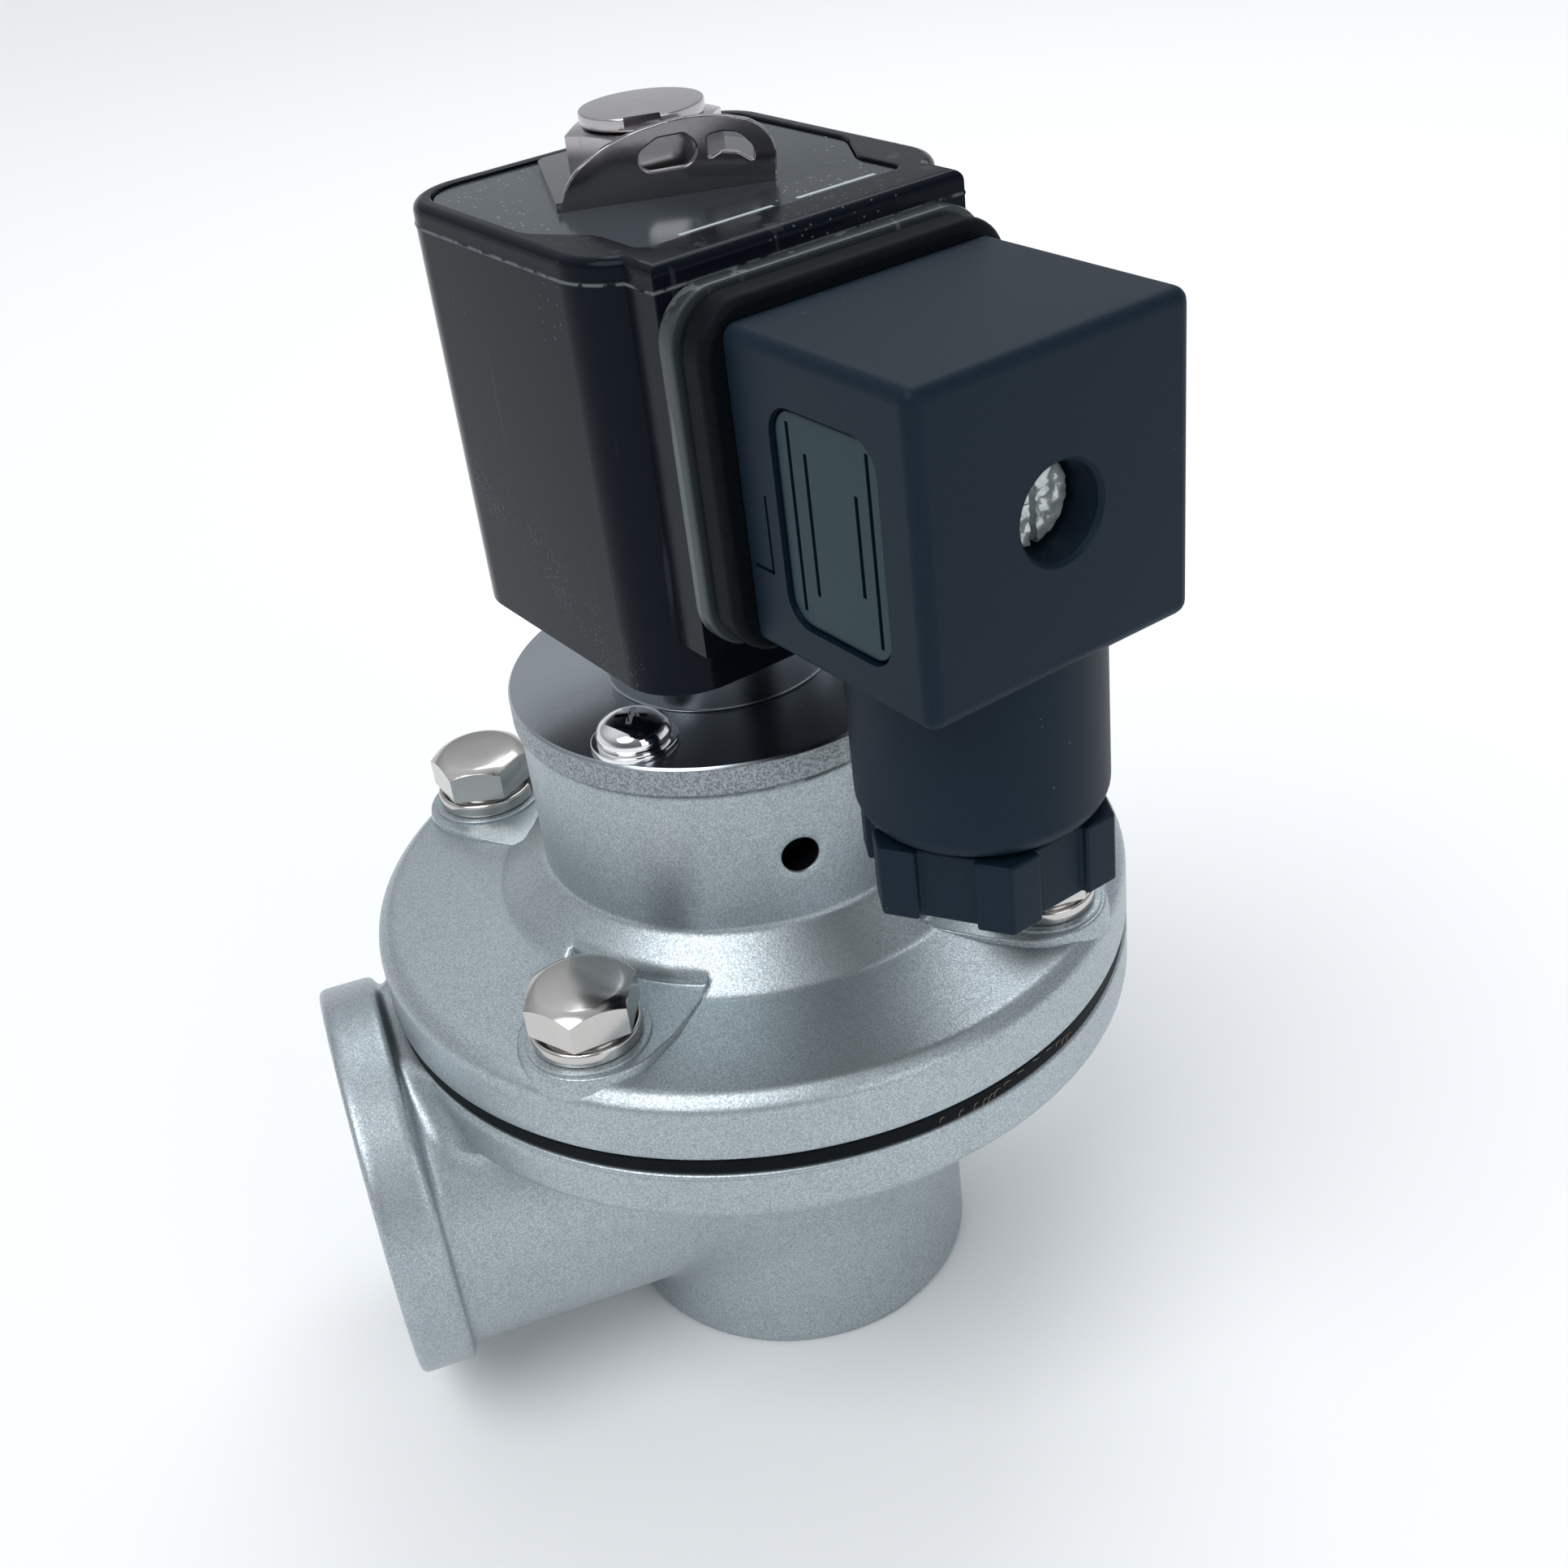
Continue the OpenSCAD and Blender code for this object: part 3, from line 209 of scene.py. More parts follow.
def flat_face(corners, height=0.0, segments=6):
    """One level face; a corner is (x, y) or (x, y, radius)"""
    bm = bmesh.new()
    verts = [bm.verts.new((corner[0], corner[1], height)) for corner in corners]
    bm.faces.new(verts)
    for i, corner in enumerate(corners):
        if len(corner) < 3 or not corner[2]:
            continue
        here = Vector(corner[:2])
        before = Vector(corners[i - 1][:2]) - here
        after = Vector(corners[(i + 1) % len(corners)][:2]) - here
        reach = corner[2] / math.tan(before.angle(after) / 2)
        bmesh.ops.bevel(bm, geom=[verts[i]], offset=reach, offset_type="OFFSET", segments=segments,
                        profile=0.5, affect="VERTICES", material=-1)
    return bm


def outline_points(corners, segments=6):
    """Points round an outline with its corners rounded"""
    bm = flat_face(corners, segments=segments)
    bm.faces.ensure_lookup_table()
    points = [tuple(v.co.xy) for v in bm.faces[0].verts]
    bm.free()
    return points


def prism(corners, low, high, segments=6):
    """A level outline drawn up from one height to another"""
    bm = flat_face(corners, low, segments)
    made = bmesh.ops.extrude_face_region(bm, geom=bm.faces[:])
    bmesh.ops.translate(bm, vec=(0, 0, high - low),
                        verts=[g for g in made["geom"] if isinstance(g, bmesh.types.BMVert)])
    return faced_out(bm)


def turned(corners, steps=192, segments=6):
    """A half section of (radius, height, rounding) corners spun a full turn about Z"""
    bm = flat_face(corners, segments=segments)
    placed(bm, turn_x(90))
    bmesh.ops.delete(bm, geom=bm.faces[:], context="FACES_ONLY")
    on_axis = [e for e in bm.edges if all(abs(v.co.x) < 1e-6 for v in e.verts)]
    bmesh.ops.delete(bm, geom=on_axis, context="EDGES")
    bmesh.ops.spin(bm, geom=bm.verts[:] + bm.edges[:], cent=(0, 0, 0), axis=(0, 0, 1),
                   angle=2 * math.pi, steps=steps, use_merge=True)
    return faced_out(merged(bm))


def soften(bm, width, segments=3, angle=30, where=None):
    """Rounds the edges sharper than an angle, all or those whose middle a test picks"""
    edges = [e for e in bm.edges if len(e.link_faces) == 2
             and e.calc_face_angle(0) > math.radians(angle)
             and (where is None or where((e.verts[0].co + e.verts[1].co) / 2))]
    bmesh.ops.bevel(bm, geom=edges, offset=width, offset_type="OFFSET", segments=segments,
                    profile=0.5, affect="EDGES", material=-1, clamp_overlap=True)
    return bm


def placed(bm, matrix):
    """The same mesh, moved, with its faces still outwards when the move mirrors it"""
    bmesh.ops.transform(bm, matrix=matrix, verts=bm.verts[:])
    if matrix.determinant() < 0:
        bmesh.ops.reverse_faces(bm, faces=bm.faces[:])
    return bm


def joined(*parts):
    """One mesh from several, whose separate shells may overlap"""
    whole = bmesh.new()
    for part in parts:
        mesh = bpy.data.meshes.new("part")
        part.to_mesh(mesh)
        part.free()
        whole.from_mesh(mesh)
        bpy.data.meshes.remove(mesh)
    return whole


def scratch_object(bm):
    """A temporary object for a mesh, for a modifier to work on"""
    mesh = bpy.data.meshes.new("scratch")
    bm.to_mesh(mesh)
    scratch = bpy.data.objects.new("scratch", mesh)
    bpy.context.scene.collection.objects.link(scratch)
    return scratch


def drop_object(scratch):
    mesh = scratch.data
    bpy.data.objects.remove(scratch)
    bpy.data.meshes.remove(mesh)


def modified(bm, kind, **settings):
    """The mesh with one modifier applied to it"""
    scratch = scratch_object(bm)
    modifier = scratch.modifiers.new("shape", kind)
    for key, value in settings.items():
        setattr(modifier, key, value)
    depsgraph = bpy.context.evaluated_depsgraph_get()
    result = bpy.data.meshes.new_from_object(scratch.evaluated_get(depsgraph))
    bm.clear()
    bm.from_mesh(result)
    bpy.data.meshes.remove(result)
    drop_object(scratch)
    return bm


def carve(bm, tool, operation="DIFFERENCE"):
    """Cuts a tool out of a mesh, or joins or crosses the two"""
    cutter = scratch_object(tool)
    tool.free()
    modified(bm, "BOOLEAN", object=cutter, operation=operation, solver="EXACT")
    drop_object(cutter)
    merged(bm)
    bmesh.ops.dissolve_degenerate(bm, edges=bm.edges[:], dist=1e-4)
    return bm


def round_bar(radius, low, high, steps=48):
    """A plain round tool for cutting"""
    return turned([(0, low), (radius, low), (radius, high), (0, high)], steps)


def block(low, high):
    """A plain box tool for cutting, between two corners"""
    bm = bmesh.new()
    bmesh.ops.create_cube(bm, size=1)
    size = Vector(high) - Vector(low)
    middle = (Vector(high) + Vector(low)) / 2
    return placed(bm, Matrix.Translation(middle) @ Matrix.Diagonal((*size, 1)))


def turn_x(degrees):
    return Matrix.Rotation(math.radians(degrees), 4, "X")


def turn_z(degrees):
    return Matrix.Rotation(math.radians(degrees), 4, "Z")


def at(x, y, z=0.0):
    return Matrix.Translation((x, y, z))


def around(angle, radius):
    """X and Y of the point at a radius and an angle in degrees"""
    return radius * math.cos(math.radians(angle)), radius * math.sin(math.radians(angle))


def bolt_place(angle):
    return turn_z(angle) @ at(BOLT_CIRCLE_R, 0)


def pilot_place(angle):
    return turn_z(angle) @ at(PILOT_CIRCLE_R, 0)


def rounded_box(half_w, half_h, radius):
    """Corners of a level rectangle about the origin"""
    return [(-half_w, -half_h, radius), (half_w, -half_h, radius),
            (half_w, half_h, radius), (-half_w, half_h, radius)]


def on_face(bm, y, z=PLUG_Z):
    """Lays a mesh drawn in XY on the connector's side of the coil; its height grows away from it"""
    return placed(bm, at(0, -y, z) @ turn_x(90))


def finish_piece(name, bm, node, finish, smooth=35, weighted=True, coil_frame=False):
    """Puts a finished mesh in the scene, on its body and in its node's place"""
    matrix = Matrix.Diagonal((MM, MM, MM, 1))
    if coil_frame:
        matrix = matrix @ Matrix.Rotation(COIL_TURN, 4, "Z")
    bmesh.ops.transform(bm, matrix=matrix, verts=bm.verts[:])
    mesh = bpy.data.meshes.new(name)
    bm.to_mesh(mesh)
    bm.free()
    mesh.shade_smooth()
    mesh.set_sharp_from_angle(angle=math.radians(smooth))
    piece = bpy.data.objects.new(name, mesh)
    bpy.context.scene.collection.objects.link(piece)
    mesh.materials.append(finish_named(finish))
    if weighted:
        modifier = piece.modifiers.new("Weighted Normal", "WEIGHTED_NORMAL")
        modifier.keep_sharp = True
    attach(piece, body_of(frame["nodes"][node])[0])
    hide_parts(node)
    return piece


# Fields for the castings

def polygon_field(outline, x, y):
    """Signed distance of points to a closed outline, negative inside"""
    nearest = np.full(x.shape, np.inf)
    inside = np.zeros(x.shape, bool)
    for (ax, ay), (bx, by) in zip(outline, outline[1:] + outline[:1]):
        ex, ey = bx - ax, by - ay
        wx, wy = x - ax, y - ay
        t = np.clip((wx * ex + wy * ey) / (ex * ex + ey * ey + 1e-12), 0, 1)
        nearest = np.minimum(nearest, (wx - ex * t) ** 2 + (wy - ey * t) ** 2)
        if abs(ey) > 1e-9:
            inside ^= ((ay > y) != (by > y)) & (x < ex * wy / ey + ax)
    return np.where(inside, -1.0, 1.0) * np.sqrt(nearest)


def polygon_table(corners, low, high, segments=6, step=0.15):
    """An outline's field, worked out once on a grid and read between the grid's points"""
    across = np.arange(low[0], high[0] + step, step)
    upward = np.arange(low[1], high[1] + step, step)
    points = np.meshgrid(across, upward, indexing="ij")
    grid = polygon_field(outline_points(corners, segments), *points)

    def read(x, y):
        gx = np.clip((x - low[0]) / step, 0, len(across) - 1.001)
        gy = np.clip((y - low[1]) / step, 0, len(upward) - 1.001)
        i, j = gx.astype(int), gy.astype(int)
        fx, fy = gx - i, gy - j
        return ((1 - fx) * ((1 - fy) * grid[i, j] + fy * grid[i, j + 1])
                + fx * ((1 - fy) * grid[i + 1, j] + fy * grid[i + 1, j + 1]))

    return read


def blend_min(a, b, k):
    """The lesser of two fields, rounded over a width where they are alike"""
    h = np.clip(0.5 + 0.5 * (b - a) / k, 0, 1)
    return b + (a - b) * h - k * h * (1 - h)


def blend_max(a, b, k):
    """The greater of two fields, rounded over a width where they are alike"""
    return -blend_min(-a, -b, k)


def fit_to_field(bm, field, box, passes=3, reach=2.6):
    """Moves every point on to the surface where a field is zero, inside a node's box"""
    low, high = (np.array(corner) / MM for corner in box)
    step = 0.05
    for smoothing in (0.5, 0.25, 0.0):
        bm.verts.ensure_lookup_table()
        points = np.array([v.co for v in bm.verts])
        start = points.copy()
        for _ in range(passes):
            value = field(points)
            slope = np.stack([(field(points + step * axis) - field(points - step * axis)) / (2 * step)
                              for axis in np.eye(3)], -1)
            length = np.maximum((slope ** 2).sum(-1), 0.3)
            points = points - (value / length)[:, None] * slope
        move = points - start
        distance = np.linalg.norm(move, axis=-1, keepdims=True)
        share = np.minimum(1, reach / np.maximum(distance, 1e-9))
        points = np.clip(start + move * share, low, high)
        for v, co in zip(bm.verts, points):
            v.co = co
        if smoothing:
            bmesh.ops.smooth_vert(bm, verts=bm.verts[:], factor=smoothing, use_axis_x=True,
                                  use_axis_y=True, use_axis_z=True)
    return bm


def remeshed_node(node, voxel):
    """A merged copy of a CAD node's mesh, drawn again with even faces"""
    bm = bmesh.new()
    bm.from_mesh(frame["nodes"][node].data)
    placed(bm, Matrix.Diagonal((1 / MM, 1 / MM, 1 / MM, 1)))
    return modified(merged(bm, 1e-3), "REMESH", mode="VOXEL", voxel_size=voxel, use_smooth_shade=True)


def flange_lip(joint_z, side):
    """Crisp edge of a flange beside the rubber; it runs out into the casting away from the joint"""
    inner_r, edge_z, end_z = 38, joint_z + 1.6 * side, joint_z + 4.2 * side
    return turned([(inner_r, joint_z), (FLANGE_R, joint_z, 0.35), (FLANGE_R, edge_z),
                   (FLANGE_R - 0.15, end_z), (inner_r, end_z)], LARGE_STEPS, 3)


def axis_distance(x, y, angle, circle_r):
    """Distance of points from an upright axis that stands at an angle on a circle"""
    hole_x, hole_y = around(angle, circle_r)
    return np.hypot(x - hole_x, y - hole_y)


def body_field(boss_fillet):
    """Field of the cast body with real blends between its forms"""
    section = ((-1, -2), (43, 48))
    bar = ((-12, -1), (50, 23))
    outer = polygon_table([(-10, 0), (BOSS_R, 0, 0.9), (BOSS_R, 28.5, 5), (33, 41, 2.0),
                           (SIDE_R, 41, 0.9), (SIDE_R, PARTING_Z, 0.9), (-10, PARTING_Z)], *section)
    cavity = polygon_table([(-10, 44), (15, 44, 0.5), (15, 27, 1), (17.5, 27, 1), (17.5, 31, 2),
                            (CHAMBER_R, 42, 1), (CHAMBER_R, 60), (-10, 60)], *section)
    outlet = polygon_table([(-10, -5), (17.7, -5), (17.7, 0), (16.9, 0.9), (16.9, 14),
                            (12.5, 14, 0.3), (12.5, 60), (-10, 60)], *section)
    boss = polygon_table([(-5, -10), (48.5, -10), (48.5, BOSS_R, 0.8), (-5, BOSS_R)], *bar)
    collar = polygon_table([(42.3, -10), (48.5, -10), (48.5, 22, 0.8), (42.3, 22, 0.8)], *bar)
    inlet = polygon_table([(14, -10), (60, -10), (60, 17.7), (48.5, 17.7), (47.6, 16.9), (30.5, 16.9),
                           (30.5, 12.5, 0.3), (14, 12.5)], *bar)
    standpipe = polygon_table([(12.5, 14), (15, 14), (15, 44, 0.4), (12.5, 44, 0.4)], *section)

    def field(points):
        x, y, z = points.T
        rho = np.hypot(x, y)
        around_inlet = np.hypot(y, z - INLET_AXIS_Z)
        body = outer(rho, z)
        arm = blend_max(boss(-x, around_inlet), z - PARTING_Z, 0.4)
        solid = np.maximum(blend_min(body, arm, boss_fillet), z - PARTING_Z)
        solid = blend_min(solid, collar(-x, around_inlet), 0.8)
        solid = np.maximum(solid, -cavity(rho, z))
        solid = np.maximum(solid, -inlet(-x, around_inlet))
        solid = np.maximum(solid, -outlet(rho, z))
        solid = np.minimum(solid, standpipe(rho, z))
        for angle in BOLT_ANGLES:
            solid = np.maximum(solid, 3.0 - axis_distance(x, y, angle, BOLT_CIRCLE_R))
        return solid

    return field


def bonnet_field():
    """Field of the cast bonnet: flange, cone and turret, with a recess for each pad, and its holes"""
    section = ((-1, 46), (43, 79))
    outer = polygon_table([(-10, BONNET_Z), (SIDE_R, BONNET_Z, 0.9), (SIDE_R, 54.3, 1.2),
                           (39.5, 55.6, 1.2), (26.8, 56.5, 0.6), (22.1, 60.2, 1.2), (TURRET_R, 60.8, 0.4),
                           (TURRET_R, TURRET_TOP_Z, 0.6), (-10, TURRET_TOP_Z)], *section)
    hollow = polygon_table([(-10, 40), (CHAMBER_R, 40), (CHAMBER_R, 52.3, 1), (20.6, 52.3, 0.6),
                            (20.6, MAIN_SPRING_TOP_Z, 1), (1.5, MAIN_SPRING_TOP_Z), (1.5, 66), (3, 66),
                            (3, 70.5), (5, 70.5, 0.4), (5, 64.5, 0.4), (9.5, 64.5, 0.6), (9.5, 90),
                            (-10, 90)], *section)
    half, end = 7.9, 40.2
    pad = polygon_table([(18, -half), (32, -half), (end, -half, 7.89), (end, half, 7.89), (32, half),
                         (18, half)], (-43, -43), (43, 43), segments=16)

    def field(points):
        x, y, z = points.T
        rho = np.hypot(x, y)
        solid = outer(rho, z)
        for angle in BOLT_ANGLES:
            out_x, out_y = around(angle, 1)
            u, v = x * out_x + y * out_y, y * out_x - x * out_y
            plan = blend_max(pad(u, v), 24.8 - rho, 0.3)
            solid = blend_max(solid, -blend_max(plan, 56.6 - z, 0.2), 0.2)
        solid = np.maximum(solid, -hollow(rho, z))
        for angle in BOLT_ANGLES:
            solid = np.maximum(solid, 3.3 - axis_distance(x, y, angle, BOLT_CIRCLE_R))
        for angle in PILOT_ANGLES:
            hole = np.maximum(axis_distance(x, y, angle, PILOT_CIRCLE_R) - 2.0, PILOT_HOLE_Z - z)
            solid = np.maximum(solid, -hole)
        exhaust = np.maximum(np.hypot(x, z - EXHAUST_Z) - EXHAUST_R - 0.15, y + 5)
        return np.maximum(solid, -exhaust)

    return field


# The pieces

def thread_liner(depth, pitch, length):
    """The helical wall of a pipe thread, its port's face at Z 0 and the port below it"""
    crest = 15.15
    root = crest + depth
    bm = bmesh.new()
    profile = [(root, 0), (root, 0.12), (crest, 0.44), (crest, 0.56), (root, 0.88), (root, 1)]
    verts = [bm.verts.new((r, 0, share * pitch)) for r, share in profile]
    for a, b in zip(verts, verts[1:]):
        bm.edges.new((a, b))
    turns = math.ceil(length / pitch) + 2
    steps = 72
    bmesh.ops.spin(bm, geom=bm.verts[:] + bm.edges[:], cent=(0, 0, 0), axis=(0, 0, 1),
                   angle=2 * math.pi * turns, dvec=(0, 0, pitch / steps), steps=steps * turns,
                   use_merge=False)
    placed(merged(bm, 1e-3), at(0, 0, -length - 1.5 * pitch))
    for height, side in ((-0.7, 1), (-length, -1)):
        cut_level(bm, height, side, clear_outer=True)
    faced_out(bm)
    inward = sum(f.normal.x * f.calc_center_median().x + f.normal.y * f.calc_center_median().y
                 for f in bm.faces)
    if inward > 0:
        bmesh.ops.reverse_faces(bm, faces=bm.faces[:])
    return modified(bm, "SOLIDIFY", thickness=0.7, offset=-1.0)


def make_body_casting(sizes):
    """Bowl, outlet stub and inlet boss, with the crisp edge of the flange and a thread in both ports"""
    field = body_field(sizes.boss_fillet / MM)
    bm = fit_to_field(remeshed_node("valve_body", 0.55), field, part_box("valve_body"))
    depth, pitch = sizes.thread_depth / MM, sizes.thread_pitch / MM
    outlet = placed(thread_liner(depth, pitch, 13), turn_x(180))
    inlet_place = at(INLET_FACE_X, 0, INLET_AXIS_Z) @ Matrix.Rotation(-math.pi / 2, 4, "Y")
    inlet = placed(thread_liner(depth, pitch, 17), inlet_place)
    finish_piece("body_casting", joined(bm, flange_lip(PARTING_Z, -1), outlet, inlet), "valve_body",
                 "cast_aluminium", smooth=50, weighted=False)


def strip_faces(bm, rows):
    """Faces between each ring of points and the next"""
    for outer, inner in zip(rows, rows[1:]):
        count = len(outer)
        for k in range(count):
            n = (k + 1) % count
            bm.faces.new((outer[k], outer[n], inner[n], inner[k]))


def bolt_pad(angle):
    """The raised table under one bolt, its outer wall drafted down into the flange"""
    inner, shoulder, centre, half, end_r = 24.6, 31.0, 33, 8.05, 7.55
    foot_z, draft = 54.35, 0.39
    bm = bmesh.new()
    rings = []
    for height, wider in ((foot_z, draft), (PAD_Z, 0.0)):
        side = half + wider
        bend = [around(a, end_r + wider) for a in range(-78, 79, 4)]
        outline = [(inner, -side), (shoulder, -side), *((centre + x, y) for x, y in bend),
                   (shoulder, side), (inner, side)]
        rings.append([bm.verts.new((x, y, height)) for x, y in outline])
    bm.faces.new(rings[0][::-1])
    bm.faces.new(rings[1])
    strip_faces(bm, rings)
    soften(faced_out(bm), 0.22, 3, 40, lambda m: m.z > PAD_Z - 0.05)
    return placed(bm, turn_z(angle))


def exhaust_mouth():
    """A ring let into the turret round the exhaust hole, for the hole's clean edge and wall"""
    bm = bmesh.new()
    rows = []
    outer_r, deep, steps = EXHAUST_R + 1.0, 4.0, 72
    profile = ((outer_r, -0.01), (EXHAUST_R + 0.2, -0.02), (EXHAUST_R + 0.08, 0.02),
               (EXHAUST_R + 0.02, 0.12), (EXHAUST_R, 0.3), (EXHAUST_R, deep), (outer_r, deep))
    for radius, sink in profile:
        row = []
        for k in range(steps):
            x, rise = around(360 * k / steps, radius)
            row.append(bm.verts.new((x, sink - math.sqrt(TURRET_R ** 2 - x * x), EXHAUST_Z + rise)))
        rows.append(row)
    strip_faces(bm, rows + rows[:1])
    return faced_out(bm)


def make_bonnet_casting():
    """Flange, cone and turret, with a pad and a spot face for each bolt and the exhaust hole's mouth"""
    bm = fit_to_field(remeshed_node("bonnet", 0.5), bonnet_field(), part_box("bonnet"))
    extras = [flange_lip(BONNET_Z, 1), exhaust_mouth()]
    for angle in BOLT_ANGLES:
        spot_face = turned([(3.3, 56.0), (6.2, 56.0), (6.2, WASHER_Z, 0.12), (3.3, WASHER_Z, 0.1)],
                           SMALL_STEPS, 3)
        extras += [placed(spot_face, bolt_place(angle)), bolt_pad(angle)]
    finish_piece("bonnet_casting", joined(bm, *extras), "bonnet", "cast_aluminium", smooth=50, weighted=False)


def loose_thread(i):
    """One short end of cloth that sticks out of the rubber's edge"""
    angle = 278 + 2.1 * i + 1.3 * math.sin(7.1 * i)
    length = 0.9 + 0.9 * math.sin(3.3 * i) ** 2
    lift = 0.7 * math.sin(5.7 * i)
    strand = bmesh.new()
    bmesh.ops.create_circle(strand, cap_ends=True, radius=0.045, segments=5)
    face = strand.faces[:]
    for step in range(5):
        made = bmesh.ops.extrude_face_region(strand, geom=face)
        face = [g for g in made["geom"] if isinstance(g, bmesh.types.BMFace)]
        tip = [g for g in made["geom"] if isinstance(g, bmesh.types.BMVert)]
        bmesh.ops.translate(strand, vec=(0.06 * step, 0.1 * lift * step, length / 5), verts=tip)
    place = at(RUBBER_R - 0.03, 0, (PARTING_Z + BONNET_Z) / 2 + 0.4 * lift)
    return placed(faced_out(strand), turn_z(angle) @ place @ turn_x(80))


def make_diaphragm():
    """Rubber sheet in three parts, a rim, a fold and a centre, with loose threads of cloth at its edge"""
    rim = turned([(FOLD_OUTER_R, PARTING_Z), (RUBBER_R, PARTING_Z, 0.45), (RUBBER_R, BONNET_Z, 0.45),
                  (FOLD_OUTER_R, BONNET_Z)], LARGE_STEPS)
    bend_r = 19.8
    fold = turned([(FOLD_INNER_R, CENTRE_LOW_Z), (bend_r, CENTRE_LOW_Z, 1), (FOLD_OUTER_R, PARTING_Z),
                   (FOLD_OUTER_R, BONNET_Z), (bend_r, CENTRE_HIGH_Z, 1), (FOLD_INNER_R, CENTRE_HIGH_Z)])
    centre = turned([(0, CENTRE_LOW_Z), (FOLD_INNER_R, CENTRE_LOW_Z), (FOLD_INNER_R, CENTRE_HIGH_Z),
                     (0, CENTRE_HIGH_Z)])
    finish_piece("diaphragm_rubber", rim, "main_diaphragm", "black_rubber")
    folded = finish_piece("diaphragm_fold", fold, "main_diaphragm", "black_rubber")
    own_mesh(folded)
    middle = finish_piece("diaphragm_centre", centre, "main_diaphragm", "black_rubber")
    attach(middle, "main_disc")
    threads = joined(*(loose_thread(i) for i in range(13)))
    loose = finish_piece("diaphragm_threads", threads, "main_diaphragm", "black_rubber", weighted=False)
    loose.data.materials[0] = finish_named("cloth_thread")


def make_coil_springs():
    """The two wound springs, copied from the imported parts"""
    for node, joint, fixed_end in (("main_spring", "main_disc_lift", MAIN_SPRING_TOP_Z),
                                   ("plunger_spring", "plunger_lift", PLUNGER_SPRING_TOP_Z)):
        bm = bmesh.new()
        bm.from_mesh(frame["nodes"][node].data)
        merged(bm, 1e-6)
        bmesh.ops.scale(bm, vec=(1 / MM, 1 / MM, 1 / MM), verts=bm.verts[:])
        piece = finish_piece(node + "_wound", bm, node, "spring_steel")
        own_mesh(piece)


def hex_bar(across_flats, low, high):
    """A hexagon bar with a corner on the X axis"""
    corner_r = across_flats / 2 / math.cos(math.pi / 6)
    return prism([around(60 * k, corner_r) for k in range(6)], low, high)


def hex_head(across_flats, low, high, drop, face_r=0.0, face_height=0.5):
    """A hexagon with a nearly flat top, turned down round its edge, on a round washer face"""
    flat = across_flats / 2
    corner = flat / math.cos(math.pi / 6) + 0.2
    top_r = 0.80 * flat
    crown = [(0, high), (0.5 * top_r, high - 0.02), (top_r, high - 0.08)]
    for k in range(1, 9):
        share = k / 8
        crown.append((top_r + (corner - top_r) * share, high - 0.08 - drop * share ** 1.5))
    foot = [(0, low), (face_r, low, 0.08), (face_r, low + face_height)] if face_r else [(0, low)]
    under = low + (face_height if face_r else 0)
    shape = turned(foot + [(corner, under)] + crown[::-1], MIDDLE_STEPS, 3)
    bm = carve(hex_bar(across_flats, low - 1, high + 1), shape, "INTERSECT")
    return soften(bm, 0.12, 3, 25, lambda m: m.z > under + 0.05)


def shank(radius, point_r, low, taper, high, steps=32):
    """A screw's plain shank, which narrows to its point over the length of the taper"""
    return turned([(0, low), (point_r, low), (radius, low + taper), (radius, high), (0, high)], steps)


def make_flange_bolts():
    parts = []
    for angle, turn in zip(BOLT_ANGLES, (8, 27, 21, 40)):
        head = hex_head(10, BOLT_HEAD_Z, 63.1, 1.15, 4.65)
        bolt = joined(head, shank(2.95, 2.3, 42.6, 0.7, BOLT_HEAD_Z + 0.3, 48))
        parts.append(placed(bolt, bolt_place(angle) @ turn_z(turn)))
    finish_piece("flange_bolt_set", joined(*parts), "flange_bolts", "nickel_plate", smooth=28)


def make_spring_washers():
    """Split rings whose gaps all lie the same way from their bolts"""
    inner_r, outer_r, half_gap, gap_turn = 3.1, 5.5, 0.13, 200
    parts = []
    for angle in BOLT_ANGLES:
        bm = flat_face([(inner_r, WASHER_Z, 0.15), (outer_r, WASHER_Z, 0.35), (outer_r, BOLT_HEAD_Z, 0.35),
                        (inner_r, BOLT_HEAD_Z, 0.15)], segments=4)
        placed(bm, Matrix.Rotation(half_gap, 4, "Z") @ turn_x(90))
        bmesh.ops.spin(bm, geom=bm.faces[:], cent=(0, 0, 0), axis=(0, 0, 1),
                       angle=2 * math.pi - 2 * half_gap, steps=72, use_merge=False)
        parts.append(placed(faced_out(bm), bolt_place(angle) @ turn_z(gap_turn)))
    finish_piece("spring_washer_set", joined(*parts), "flange_spring_washers", "nickel_plate")


def make_pilot_plate():
    """Round plate on the turret with a spigot below, a hub above and a hole for each screw"""
    bore_r, spigot_r, plate_r, hub_r = 7.05, 12.45, 22, 11.5
    bm = turned([(bore_r, 78.7), (spigot_r, 78.7), (spigot_r, TURRET_TOP_Z), (plate_r, TURRET_TOP_Z, 0.35),
                 (plate_r, 79.9, 0.12), (plate_r - 0.25, PLATE_TOP_Z, 0.12), (hub_r, PLATE_TOP_Z, 0.25),
                 (hub_r, 89.0, 0.2), (hub_r - 0.4, HUB_TOP_Z, 0.2), (bore_r, HUB_TOP_Z)], LARGE_STEPS, 4)
    for angle in PILOT_ANGLES:
        carve(bm, placed(round_bar(2.2, 76, 82), pilot_place(angle)))
    finish_piece("pilot_plate_turned", bm, "pilot_plate", "machined_aluminium")


